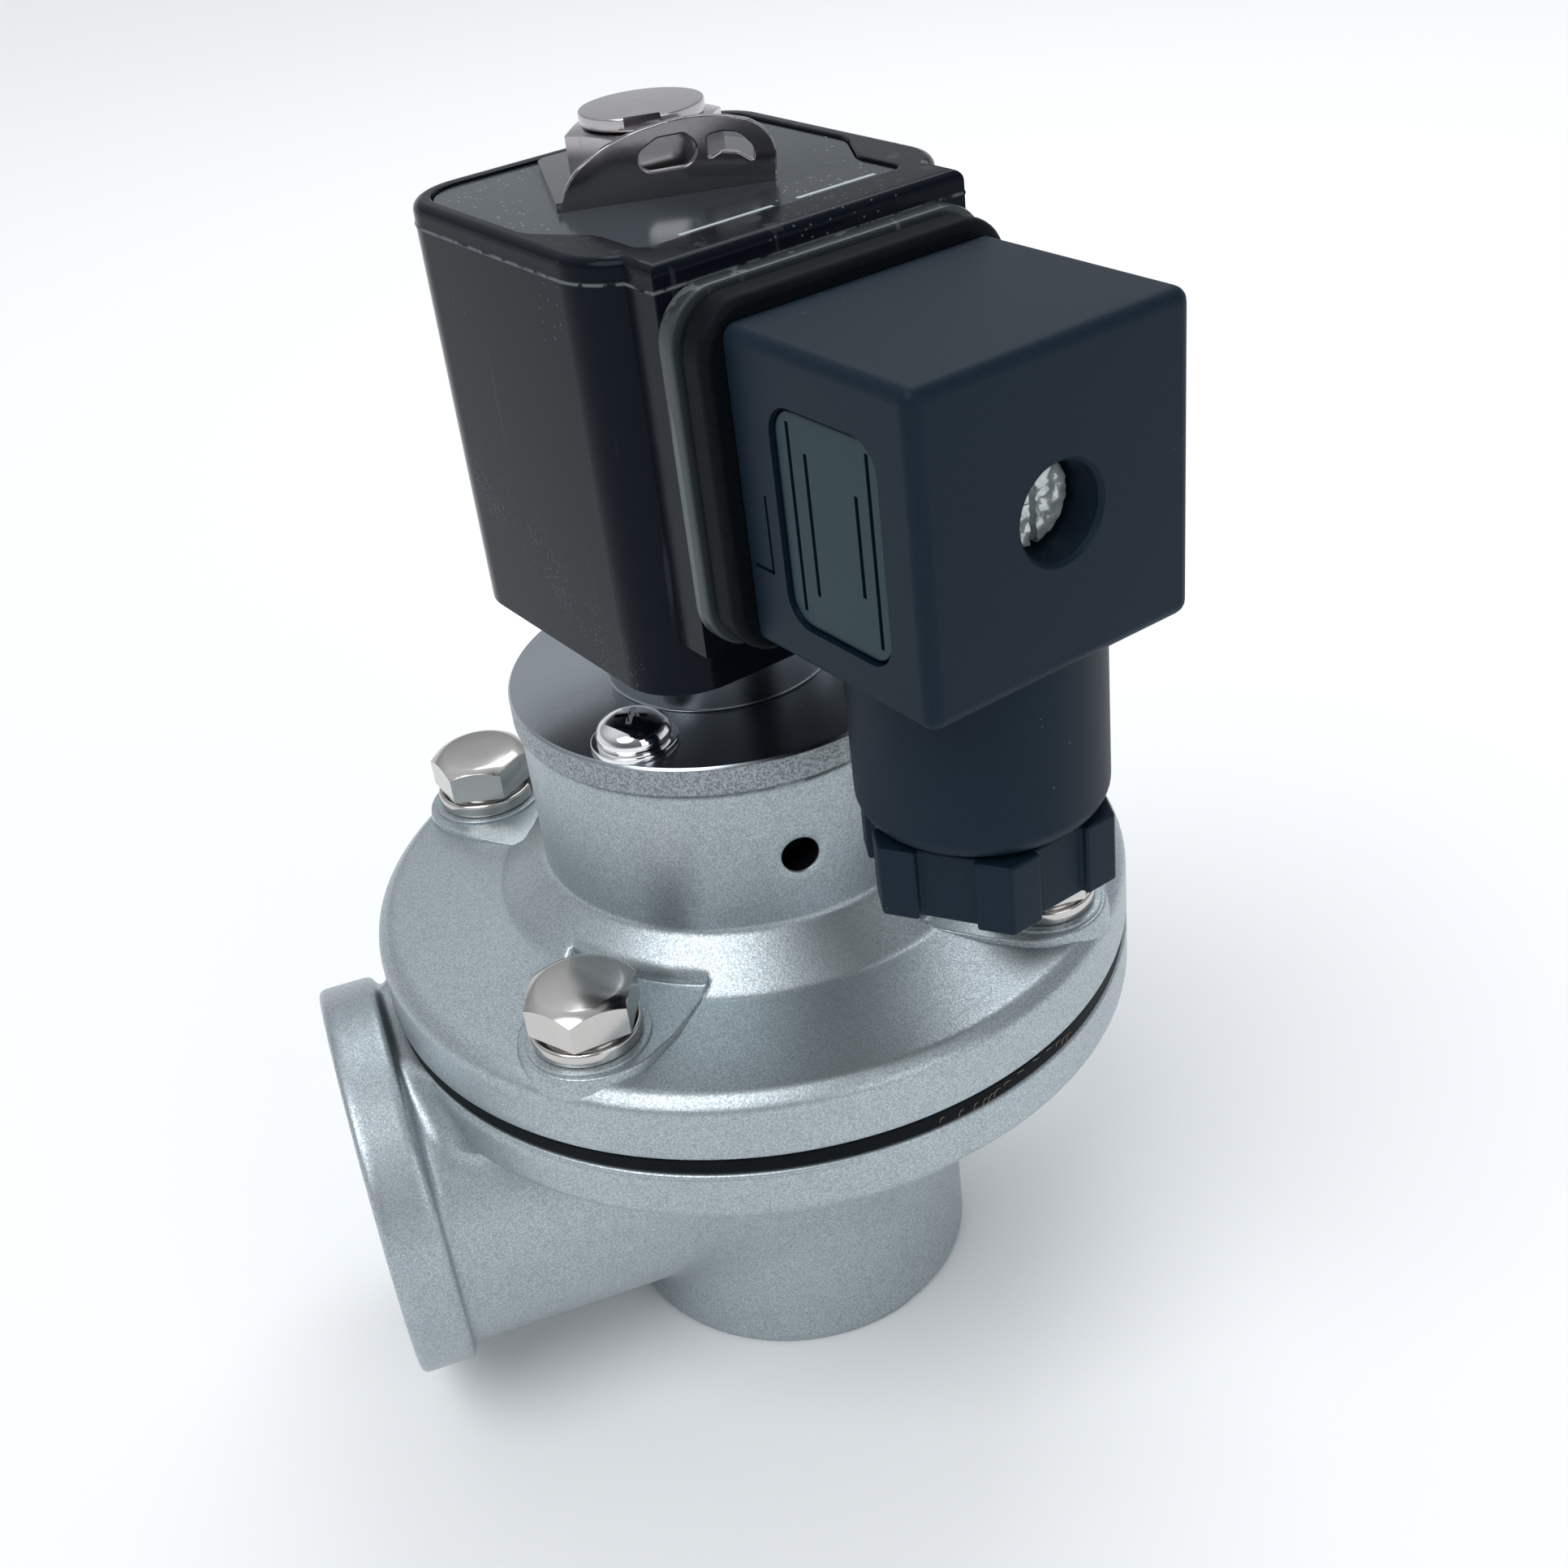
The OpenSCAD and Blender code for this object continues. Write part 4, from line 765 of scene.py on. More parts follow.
def make_pilot_screws():
    """Domed screws with a cross in the head, each on a flat washer"""
    head_z, half_slot, slot_floor = PLATE_TOP_Z + 0.6, 0.3, 82.2
    screws, washers = [], []
    for angle in PILOT_ANGLES:
        head = turned([(0, head_z), (3.55, head_z, 0.15), (3.7, 81.15, 0.3), (3.7, 81.6, 0.5),
                       (3.35, 82.3, 1.2), (2.3, 83.0, 2.5), (0, 83.3)], MIDDLE_STEPS, 5)
        for turn in (20, 110):
            slot = block((-1.6, -half_slot, slot_floor), (1.6, half_slot, 84))
            carve(head, placed(slot, turn_z(turn)))
        screw = joined(head, shank(1.95, 1.5, 68.8, 0.5, head_z + 0.1))
        screws.append(placed(screw, pilot_place(angle)))
        washer = turned([(2.1, PLATE_TOP_Z), (4.3, PLATE_TOP_Z, 0.12), (4.3, head_z, 0.15),
                         (2.1, head_z, 0.1)], 72, 3)
        washers.append(placed(washer, pilot_place(angle)))
    finish_piece("pilot_screw_set", joined(*screws), "pilot_screws", "bright_plate")
    finish_piece("pilot_washer_set", joined(*washers), "pilot_screw_washers", "bright_plate")


def mirrored(right):
    """A whole outline from its right half, given from front to back"""
    return right + [(-corner[0], *corner[1:]) for corner in reversed(right)]


def coil_outline(segments=12):
    """Plan of the coil's block with the terminal block in front"""
    back, front, lip = 15.5, -24.4, 15.8
    arc_x, arc_y = 12.2, -14.8
    start = math.asin((lip - arc_x) / COIL_CORNER)
    arc = []
    for k in range(segments + 1):
        a = start + (math.pi / 2 - start) * k / segments
        arc.append((arc_x + COIL_CORNER * math.sin(a), arc_y - COIL_CORNER * math.cos(a)))
    return mirrored([(lip, front)] + arc + [(COIL_HALF, back, COIL_CORNER)])


def label_outline(inset):
    """Plan of the label and of its recess, which stops short of the coil's broad front rim"""
    half, back, lip, front = 16.9 - inset, 13.7 - inset, 13.4 - inset, -19.4 + inset
    return mirrored([(lip, front, 1.2), (lip, -13.0, 3.0), (half, -7.0, 4.0), (half, back, 4.7 - inset)])


def make_coil_housing(sizes):
    """Moulded coil: a block with a deeper upper half, a flash line near its top and the label's recess"""
    edge = sizes.coil_edge / MM
    main = placed(prism(rounded_box(COIL_HALF, 18.4, COIL_CORNER), COIL_Z, 100, 12), at(0, -2.9))
    bm = carve(main, prism(coil_outline(), 95.5, COIL_TOP_Z, 12), "UNION")
    bmesh.ops.dissolve_limit(bm, angle_limit=math.radians(1), verts=bm.verts[:], edges=bm.edges[:])
    soften(bm, edge, 5, 40, lambda m: m.z > COIL_TOP_Z - 0.1)
    soften(bm, 0.7, 3, 40, lambda m: m.z < COIL_TOP_Z - 2)
    for offset in (-0.25, 0.0, 0.25):
        cut_level(bm, FLASH_Z + offset)
    flash = [v for v in bm.verts if abs(v.co.z - FLASH_Z) < 0.01]
    bm.normal_update()
    for v in flash:
        v.co += 0.1 * v.normal
    carve(bm, prism(label_outline(0), LABEL_FLOOR_Z, COIL_TOP_Z + 2, 8))
    soften(bm, 0.25, 2, 60, lambda m: abs(m.z - COIL_TOP_Z) < 0.02)
    carve(bm, round_bar(7.15, COIL_Z - 1, COIL_TOP_Z + 1, SMALL_STEPS))
    finish_piece("coil_moulding", bm, "coil_housing", "coil_resin", coil_frame=True)


def make_label():
    """Glossy sheet in the coil's recess, with the hole for the core tube"""
    bm = prism(label_outline(0.12), LABEL_FLOOR_Z, CLIP_Z, 8)
    carve(bm, round_bar(7.2, LABEL_FLOOR_Z - 1, CLIP_Z + 1, SMALL_STEPS))
    soften(bm, 0.12, 2, 40, lambda m: m.z > CLIP_Z - 0.01)
    finish_piece("label_sheet", bm, "coil_label", "label_plate", coil_frame=True)


def make_coil_nut():
    """Hexagon nut with a raised disc that has a notch in its edge"""
    nut = hex_head(12.5, NUT_Z, 134.3, 0.4)
    disc_r, disc_top = 5.6, 135.5
    disc = turned([(0, 134.0), (5.45, 134.35), (disc_r, 134.5, 0.1), (disc_r, disc_top, 0.18),
                   (0, disc_top)], MIDDLE_STEPS, 3)
    carve(disc, placed(block((-2.2, -7, 134.55), (1.0, -4.7, 137)), turn_z(-8)))
    finish_piece("coil_nut_turned", joined(nut, disc), "coil_nut", "satin_steel", smooth=30)


def make_clip():
    """Sheet clip: flat plate with a centre hole and an arched tab with its two openings"""
    thick, front = 0.8, -8.3
    plate = prism([(-8.9, front), (10.2, front), (9.9, 4, 0.8), (5.5, 8.8, 0.8), (-6.8, 9.6, 1.5),
                   (-9.7, 8.2, 1.5)], CLIP_Z, CLIP_Z + thick)
    carve(plate, round_bar(4.3, CLIP_Z - 1, CLIP_Z + 2, SMALL_STEPS))
    arch = [(-8.7, 0), (-8.2, 1.5, 4), (-7.0, 3.1, 4), (-4.5, 4.7, 8), (-1.6, 5.7, 10), (2.2, 6.3, 12),
            (5.6, 6.2, 12), (9.0, 5.2, 3), (10.5, 3.2, 2.5), (10.2, 0)]
    window = [(-1.0, 2.2, 1.0), (3.0, 2.3, 1.2), (3.9, 3.9, 1.0), (2.7, 5.0, 0.5), (0.4, 4.9, 0.9),
              (-1.6, 3.8, 0.9)]
    crescent = [(4.6, 2.6, 0.2), (5.7, 3.1, 0.8), (7.2, 2.8, 1.2), (8.4, 1.9, 0.2), (8.6, 3.0, 0.8),
                (7.4, 4.4, 1.5), (5.9, 4.7, 0.6), (4.6, 4.5, 0.4)]
    tab = prism(arch, 0, thick, 5)
    for opening in (window, crescent):
        carve(tab, prism(opening, -1, 2, 6))
    soften(tab, 0.16, 3, 60, lambda m: m.y > 0.3)
    placed(tab, at(0, front + thick, CLIP_Z) @ turn_x(90))
    bm = carve(plate, tab, "UNION")
    soften(bm, 0.75, 4, 60, lambda m: abs(m.y - front) < 0.01 and abs(m.z - CLIP_Z) < 0.01)
    soften(bm, 0.1, 2, 50, lambda m: m.z < CLIP_Z + thick + 0.05)
    placed(bm, turn_z(-10))
    clip = finish_piece("clip_sheet", bm, "retaining_clip", "satin_steel", smooth=30)
    # The clip takes a darker copy of the satin steel, painted shade for the dark surroundings it reflects
    clip.data.materials[0] = finish_named("shaded_clip_steel")


def make_terminal_base():
    """The moulded base on the coil's front and the rubber gasket in front of it"""
    base = soften(prism(rounded_box(16.2, 15.7, 4.5), 0, GASKET_Y - BASE_Y, 10), 0.35, 2, 40)
    finish_piece("terminal_base_moulding", on_face(base, BASE_Y), "terminal_base", "base_moulding",
                 coil_frame=True)
    gasket = soften(prism(rounded_box(15.7, 15.3, 4.5), 0, PLUG_Y - GASKET_Y, 10), 0.9, 4, 40)
    finish_piece("connector_gasket_rubber", on_face(gasket, GASKET_Y), "connector_gasket", "black_rubber",
                 coil_frame=True)


def make_connector(sizes):
    """Housing: rounded box, cable barrel, screw recess in front and a bare panel on each side"""
    half, low, high, back, front, wall = 13.75, 98.3, 125.7, -PLUG_Y, -PLUG_FRONT_Y, 2
    bm = block((-half, front, low), (half, back, high))
    soften(bm, sizes.plug_edge / MM, 5, 40, lambda m: m.y < back - 0.1)
    soften(bm, 0.4, 2, 40, lambda m: m.y > back - 0.1)
    bore_r, barrel_r, barrel_z = 8.9, 11.1, 81.9
    barrel = turned([(bore_r, barrel_z + 0.5), (bore_r + 0.05, barrel_z), (barrel_r, barrel_z, 2.1),
                     (barrel_r, 101), (bore_r, 101)], 128, 8)
    carve(bm, placed(barrel, at(0, -GLAND_Y)), "UNION")
    carve(bm, block((-half + wall, front + wall, low + wall), (half - wall, back + 1, high - wall)))
    boss_y, screw_hole_r = 40.0, 1.7
    boss = turned([(screw_hole_r, 0), (5.4, 0), (5.4, 12.0), (screw_hole_r, 12.0)], SMALL_STEPS)
    carve(bm, on_face(boss, boss_y), "UNION")
    carve(bm, placed(round_bar(bore_r, 80, 95.8, MIDDLE_STEPS), at(0, -GLAND_Y)))
    carve(bm, placed(round_bar(6.0, 90, 100.4, SMALL_STEPS), at(0, -GLAND_Y)))
    recess_r, mouth_r = 4, 4.35
    recess = turned([(0, 0), (recess_r, 0), (recess_r, 7.1), (mouth_r, 7.5), (mouth_r, 9), (0, 9)], 72)
    carve(bm, on_face(recess, 45.0))
    carve(bm, on_face(round_bar(screw_hole_r, 0, 20, 32), boss_y))
    side_on = Matrix(((0, 0, -1, 0), (1, 0, 0, 0), (0, 1, 0, 0), (0, 0, 0, 1)))
    panel_at = side_on @ at(-41.6, 111.5)
    lines = ((-5.0, -7.9, 8.1), (-3.3, -4.1, 4.3), (2.7, -6.0, 6.0), (4.7, -7.9, 8.1))
    half_line = 0.22
    for mirror in (1, -1):
        side = Matrix.Diagonal((mirror, 1, 1, 1)) @ panel_at
        carve(bm, placed(prism(rounded_box(6.6, 9.4, 2.7), half - 0.95, half + 2, 8), side))
        carve(bm, placed(prism(rounded_box(6.25, 9.05, 2.4), half - 1.5, half - 0.4, 8), side), "UNION")
        for y, line_low, line_high in lines:
            line = block((y - half_line, line_low, half - 0.85), (y + half_line, line_high, half + 1))
            carve(bm, placed(line, side))
    for y, z, tall, wide in ((-33.4, 109.2, 3.4, 0.16), (-32.2, 105.9, 0.16, 1.3)):
        carve(bm, block((-half - 1, y - wide, z - tall), (-half + 0.4, y + wide, z + tall)))
    finish_piece("connector_moulding_shell", bm, "connector_housing", "connector_moulding", coil_frame=True)


def make_connector_screw():
    """Bright plated screw at the bottom of the connector's recess, its head rough from the plating"""
    radius, top = 3.7, 3.5
    rings = [(radius - 0.35 - 0.28 * k, top) for k in range(12)]
    head = turned([(0, 0), (radius, 0, 0.1), (radius, top, 0.35)] + rings + [(0, top)], 72, 4)
    carve(head, block((-0.4, -4, top - 1.0), (0.4, 4, top + 2)))
    for v in head.verts:
        if v.co.z > top - 0.3:
            v.co.z += 0.22 * noise.noise(v.co * 1.6) + 0.12 * noise.noise(v.co * 3.7)
    bm = on_face(joined(head, shank(1.45, 1.0, -26.2, 0.5, 0.1)), 45.6)
    finish_piece("connector_screw_plated", bm, "connector_screw", "zinc_plate", smooth=50, coil_frame=True)


def make_gland_nut():
    """Hexagon with a lug on each corner, and the shank that screws into the barrel"""
    low, high, across = 74.9, 81.8, 20.5
    bm = hex_bar(across, low, high)
    for k in range(6):
        cut = block((across / 2 - 0.7, -2.6, low - 1), (across, 2.6, high + 1))
        carve(bm, placed(cut, turn_z(30 + 60 * k)))
    soften(bm, 0.3, 3, 25)
    thread_r, end_z = 8.82, 88.1
    neck = [(0, high - 1), (thread_r, high - 1), (thread_r, end_z - 0.3), (thread_r - 0.32, end_z),
            (0, end_z)]
    carve(bm, turned(neck, MIDDLE_STEPS), "UNION")
    mouth_r, hole_r = 6.1, 5
    hole = [(0, 70), (mouth_r, 70), (mouth_r, low), (hole_r, low + 1.1), (hole_r, 90), (0, 90)]
    carve(bm, turned(hole, MIDDLE_STEPS))
    placed(bm, at(0, -GLAND_Y))
    finish_piece("gland_nut_moulding", bm, "gland_nut", "connector_moulding", coil_frame=True)


# Finishes

def add_node(tree, kind, links=None, **settings):
    """A shader node with its settings, and its inputs linked or set"""
    made = tree.nodes.new(kind)
    for key, value in settings.items():
        setattr(made, key, value)
    for key, value in (links or {}).items():
        if isinstance(value, bpy.types.NodeSocket):
            tree.links.new(value, made.inputs[key])
        else:
            made.inputs[key].default_value = value
    return made


def math_node(tree, operation, a, b=0.0):
    return add_node(tree, "ShaderNodeMath", {0: a, 1: b}, operation=operation).outputs[0]


def product(tree, first, *others):
    """Values multiplied together"""
    for other in others:
        first = math_node(tree, "MULTIPLY", first, other)
    return first


def object_place(tree):
    """Coordinates of the piece itself, which stay with it when it moves"""
    return tree.nodes.new("ShaderNodeTexCoord").outputs["Object"]


def apart(tree, vector):
    """The three values of a vector"""
    return add_node(tree, "ShaderNodeSeparateXYZ", {0: vector}).outputs


def noise_value(tree, place, scale, detail):
    inputs = {"Vector": place, "Scale": scale, "Detail": detail}
    return add_node(tree, "ShaderNodeTexNoise", inputs).outputs[0]


def ramp(tree, value, low, high, out_low=0.0, out_high=1.0):
    """A value spread smoothly from one range to another"""
    made = add_node(tree, "ShaderNodeMapRange", {0: value, 1: low, 2: high, 3: out_low, 4: out_high},
                    interpolation_type="SMOOTHSTEP")
    return made.outputs[0]


def falling(tree, value, low, high):
    """One below the first of two limits in millimetres, fading to nothing at the second"""
    return ramp(tree, value, low * MM, high * MM, 1.0, 0.0)


def mix_colour(tree, factor, a, b):
    return add_node(tree, "ShaderNodeMix", {0: factor, 6: a, 7: b}, data_type="RGBA").outputs[2]


def mix_value(tree, factor, a, b):
    return add_node(tree, "ShaderNodeMix", {0: factor, 2: a, 3: b}, data_type="FLOAT").outputs[0]


def new_group(name, inputs, outputs):
    """An empty node group; a default of one number makes a plain input, one of four a colour"""
    tree = bpy.data.node_groups.new(name, "ShaderNodeTree")
    kinds = {float: "NodeSocketFloat", tuple: "NodeSocketColor"}
    for label, default in inputs.items():
        socket = tree.interface.new_socket(label, in_out="INPUT", socket_type=kinds[type(default)])
        socket.default_value = default
    for label in outputs:
        kind = kinds[tuple] if label == "Color" else kinds[float]
        tree.interface.new_socket(label, in_out="OUTPUT", socket_type=kind)
    return tree, tree.nodes.new("NodeGroupInput").outputs, tree.nodes.new("NodeGroupOutput").inputs


def group_node(tree, name, values):
    """A node that uses a group, with its inputs set by name"""
    return add_node(tree, "ShaderNodeGroup", values, node_tree=bpy.data.node_groups[name])


def finish_named(name):
    return bpy.data.materials[name + "_finish"]


def build_surface_group():
    """Blotches of a second tone, fine grain and an uneven gloss"""
    tree, given, out = new_group(
        "Surface grain",
        {"Base": (0.5, 0.5, 0.5, 1), "Shade": (0.4, 0.4, 0.4, 1), "Blotch Scale": 60.0,
         "Blotch Amount": 0.5, "Grain Scale": 2500.0, "Grain Amount": 0.2, "Roughness": 0.4, "Spread": 0.1},
        ("Color", "Roughness", "Height"))
    place = object_place(tree)
    blotch = noise_value(tree, place, given["Blotch Scale"], 4.0)
    grain = noise_value(tree, place, given["Grain Scale"], 2.0)
    blotchy = product(tree, ramp(tree, blotch, 0.35, 0.68), given["Blotch Amount"])
    grainy = product(tree, ramp(tree, grain, 0.35, 0.65), given["Grain Amount"])
    total = add_node(tree, "ShaderNodeClamp", {0: math_node(tree, "ADD", blotchy, grainy)}).outputs[0]
    tree.links.new(mix_colour(tree, total, given["Base"], given["Shade"]), out["Color"])
    uneven = math_node(tree, "SUBTRACT", math_node(tree, "ADD", blotch, grain), 1.0)
    rough = math_node(tree, "ADD", given["Roughness"], product(tree, uneven, given["Spread"]))
    tree.links.new(rough, out["Roughness"])
    tree.links.new(grain, out["Height"])


def build_speck_group():
    """Small specks gathered in patches, such as dust, tiny knocks or the painted glints of the castings"""
    tree, given, out = new_group(
        "Dust and glint specks", {"Scale": 900.0, "Size": 0.25, "Patch Scale": 40.0, "Patch Low": 0.5}, ("Mask",))
    place = object_place(tree)
    cell = add_node(tree, "ShaderNodeTexVoronoi", {"Vector": place, "Scale": given["Scale"]})
    near = math_node(tree, "LESS_THAN", cell.outputs["Distance"], given["Size"])
    few = add_node(tree, "ShaderNodeSeparateColor", {0: cell.outputs["Color"]}).outputs[0]
    patch = noise_value(tree, place, given["Patch Scale"], 3.0)
    chance = product(tree, math_node(tree, "SUBTRACT", patch, given["Patch Low"]), 4.0)
    tree.links.new(product(tree, near, math_node(tree, "LESS_THAN", few, chance)), out["Mask"])


def build_scratch_group():
    """Thin scratches that run mostly one way"""
    tree, given, out = new_group("Fine scratches", {"Scale": 300.0, "Turn": 0.3, "Level": 0.66}, ("Mask",))
    turn = add_node(tree, "ShaderNodeCombineXYZ", {i: given["Turn"] for i in range(3)}).outputs[0]
    stretched = add_node(tree, "ShaderNodeMapping", {"Vector": object_place(tree), "Rotation": turn,
                                                     "Scale": (1.0, 1.0, 0.06)}).outputs[0]
    lines = noise_value(tree, stretched, given["Scale"], 2.0)
    high = math_node(tree, "ADD", given["Level"], 0.04)
    tree.links.new(ramp(tree, lines, given["Level"], high), out["Mask"])


# Finish: base, second tone, metallic, roughness, spread of the roughness, blotch scale and amount,
# grain scale and amount, bump in millimetres
FINISHES = {
    "cast_aluminium": ((0.43, 0.485, 0.51), (0.27, 0.31, 0.33),
                       0.85, 0.42, 0.08, 45, 0.10, 4200, 0.62, 0.016),
    "machined_aluminium": ((0.42, 0.45, 0.49), (0.35, 0.38, 0.41),
                           1.0, 0.24, 0.08, 60, 0.2, 2600, 0.2, 0.002),
    "disc_aluminium": ((0.75, 0.76, 0.78), (0.6, 0.61, 0.63), 1.0, 0.28, 0.08, 50, 0.3, 1500, 0.2, 0.003),
    "black_rubber": ((0.003, 0.004, 0.005), (0.006, 0.007, 0.009),
                     0.0, 0.52, 0.12, 70, 0.4, 1800, 0.3, 0.012),
    "brass": ((0.72, 0.53, 0.24), (0.55, 0.39, 0.16), 1.0, 0.25, 0.10, 90, 0.4, 1400, 0.2, 0.003),
    "tinned_blade": ((0.72, 0.71, 0.66), (0.55, 0.54, 0.50), 1.0, 0.30, 0.10, 120, 0.4, 1600, 0.2, 0.003),
    "spring_steel": ((0.60, 0.60, 0.60), (0.45, 0.45, 0.46), 1.0, 0.30, 0.08, 90, 0.3, 1500, 0.2, 0.002),
    "nickel_plate": ((0.60, 0.58, 0.56), (0.50, 0.48, 0.46), 1.0, 0.17, 0.06, 130, 0.25, 1700, 0.12, 0.002),
    "bright_plate": ((0.86, 0.86, 0.87), (0.74, 0.74, 0.76), 1.0, 0.06, 0.04, 110, 0.3, 1200, 0.1, 0.001),
    "satin_steel": ((0.56, 0.53, 0.54), (0.46, 0.44, 0.45), 1.0, 0.20, 0.05, 110, 0.3, 2200, 0.15, 0.001),
    # A darker copy of satin_steel for the clip: painted shade standing in for the dark things it reflects
    "shaded_clip_steel": ((0.25, 0.24, 0.25), (0.20, 0.19, 0.20), 1.0, 0.13, 0.04, 110, 0.3, 2200, 0.15, 0.001),
    "tube_steel": ((0.62, 0.63, 0.64), (0.5, 0.5, 0.52), 1.0, 0.25, 0.08, 80, 0.3, 1600, 0.2, 0.002),
    "core_iron": ((0.45, 0.45, 0.46), (0.33, 0.33, 0.34), 1.0, 0.32, 0.08, 80, 0.3, 1600, 0.2, 0.003),
    "zinc_plate": ((0.66, 0.70, 0.69), (0.45, 0.50, 0.50), 0.55, 0.25, 0.10, 900, 0.7, 1300, 0.3, 0.10),
    "copper": ((0.70, 0.32, 0.16), (0.5, 0.2, 0.09), 1.0, 0.3, 0.08, 90, 0.3, 1500, 0.2, 0.004),
    "bobbin_nylon": ((0.62, 0.58, 0.48), (0.52, 0.48, 0.39), 0.0, 0.45, 0.08, 60, 0.3, 1400, 0.2, 0.004),
    "coil_resin": ((0.003, 0.004, 0.007), (0.005, 0.007, 0.011),
                   0.0, 0.16, 0.08, 55, 0.35, 1500, 0.15, 0.004),
    "label_plate": ((0.018, 0.024, 0.030), (0.030, 0.038, 0.045),
                    0.0, 0.11, 0.06, 60, 0.4, 1200, 0.2, 0.003),
    "base_moulding": ((0.034, 0.041, 0.040), (0.030, 0.037, 0.035),
                      0.0, 0.32, 0.12, 160, 0.6, 1500, 0.3, 0.008),
    "connector_moulding": ((0.003, 0.010, 0.019), (0.006, 0.014, 0.025),
                           0.0, 0.50, 0.06, 50, 0.35, 3000, 0.4, 0.011),
    "insert_moulding": ((0.10, 0.10, 0.10), (0.07, 0.07, 0.07), 0.0, 0.45, 0.08, 60, 0.3, 1500, 0.2, 0.005),
    "cloth_thread": ((0.30, 0.26, 0.19), (0.20, 0.17, 0.12), 0.0, 0.8, 0.1, 900, 0.6, 5000, 0.4, 0.01),
}

# Specular level of the finishes that differ from the usual
USUAL_SPECULAR = 0.5
SPECULAR = {"black_rubber": 0.07, "zinc_plate": 0.8, "coil_resin": 0.09, "base_moulding": 0.4,
            "connector_moulding": 0.18, "cloth_thread": 0.3}
COOL_GLOSS = (0.72, 0.88, 1.0, 1)
DUST = (0.16, 0.18, 0.20)


def build_finish(name, colours):
    """A material with grain, uneven gloss and bump, and the places where extra marks join it"""
    base, shade, metallic, rough, spread, blotch, blotchy, grain, grainy, bump = FINISHES[name]
    material = bpy.data.materials.new(name + "_finish")
    material.use_nodes = True
    tree = material.node_tree
    shader = tree.nodes["Principled BSDF"].inputs
    surface = group_node(tree, "Surface grain", {
        "Base": (*colours.get(name, base), 1), "Shade": (*shade, 1), "Blotch Scale": blotch,
        "Blotch Amount": blotchy, "Grain Scale": grain, "Grain Amount": grainy, "Roughness": rough,
        "Spread": spread}).outputs
    shader["Metallic"].default_value = metallic
    shader["Specular IOR Level"].default_value = SPECULAR.get(name, USUAL_SPECULAR)
    if not metallic:
        shader["Specular Tint"].default_value = COOL_GLOSS
    relief = add_node(tree, "ShaderNodeBump", {"Height": surface["Height"], "Strength": 1.0,
                                               "Distance": bump * MM})
    tree.links.new(surface["Color"], shader["Base Color"])
    tree.links.new(surface["Roughness"], shader["Roughness"])
    tree.links.new(relief.outputs[0], shader["Normal"])


def feed(socket):
    """The socket that now feeds an input"""
    return socket.links[0].from_socket


def lay_over(material, mask, colour=None, rough=None):
    """Lays marks over a finish: their colour, their roughness or both, where a mask says"""
    tree = material.node_tree
    shader = tree.nodes["Principled BSDF"].inputs
    if colour:
        socket = shader["Base Color"]
        tree.links.new(mix_colour(tree, mask, feed(socket), (*colour, 1)), socket)
    if rough is not None:
        socket = shader["Roughness"]
        tree.links.new(mix_value(tree, mask, feed(socket), rough), socket)


def group_mask(tree, name, amount, **values):
    """A group's mask at part of its strength"""
    values = {key.replace("_", " "): value for key, value in values.items()}
    return product(tree, group_node(tree, name, values).outputs["Mask"], amount)


def dust_and_glint_mask(tree, amount, scale, size, patch_scale, patch_low):
    return group_mask(tree, "Dust and glint specks", amount, Scale=scale, Size=size, Patch_Scale=patch_scale,
                      Patch_Low=patch_low)


def scuff_mask(tree, amount, scale, turn, level):
    return group_mask(tree, "Fine scratches", amount, Scale=scale, Turn=turn, Level=level)


def coil_place(tree):
    """Object coordinates turned so that the coil's front faces -Y, as separate values"""
    straight = add_node(tree, "ShaderNodeMapping", {"Vector": object_place(tree),
                                                    "Rotation": (0, 0, -COIL_TURN)})
    return apart(tree, straight.outputs[0])


def band(tree, value, low, high, soft):
    """One between two limits in millimetres, fading to nothing outside them"""
    rise = ramp(tree, value, (low - soft) * MM, (low + soft) * MM)
    return product(tree, rise, falling(tree, value, high - soft, high + soft))


def dress_cast():
    """Painted glints in the castings' grain, and painted shade inside the exhaust hole"""
    material = finish_named("cast_aluminium")
    tree = material.node_tree
    # Lighter, glossier specks: the gloss is real, the lighter colour is a painted glint
    lay_over(material, dust_and_glint_mask(tree, 0.45, 5200.0, 0.4, 900.0, 0.25), (0.66, 0.72, 0.75), 0.28)
    across, along, up = apart(tree, object_place(tree))
    rise = math_node(tree, "SUBTRACT", up, EXHAUST_Z * MM)
    squares = math_node(tree, "ADD", product(tree, across, across), product(tree, rise, rise))
    from_axis = math_node(tree, "SQRT", squares)
    # Painted shade: the inside of the exhaust hole is darkened where shade falls
    hole_shade = product(tree, falling(tree, from_axis, EXHAUST_R + 0.07, EXHAUST_R + 0.2),
                   band(tree, along, -21.3, -9.0, 0.15))
    lay_over(material, hole_shade, (0.008, 0.010, 0.013), 0.6)


def dress_plate():
    """The plate's edge is a coarse casting, its top is turned smooth"""
    material = finish_named("machined_aluminium")
    tree = material.node_tree
    coordinates = tree.nodes.new("ShaderNodeTexCoord").outputs
    upward = apart(tree, coordinates["Normal"])[2]
    height = apart(tree, coordinates["Object"])[2]
    side = product(tree, ramp(tree, upward, 0.15, 0.35, 1.0, 0.0),
                   falling(tree, height, PLATE_TOP_Z + 0.1, PLATE_TOP_Z + 0.3))
    coarse = noise_value(tree, coordinates["Object"], 4300.0, 3.0)
    lay_over(material, side, (0.40, 0.44, 0.46), 0.46)
    lay_over(material, product(tree, side, ramp(tree, coarse, 0.42, 0.60)), (0.25, 0.28, 0.295), 0.6)
    normal = tree.nodes["Principled BSDF"].inputs["Normal"]
    relief = add_node(tree, "ShaderNodeBump", {"Height": product(tree, coarse, side), "Strength": 1.0,
                                               "Distance": 0.09 * MM, "Normal": feed(normal)})
    tree.links.new(relief.outputs[0], normal)


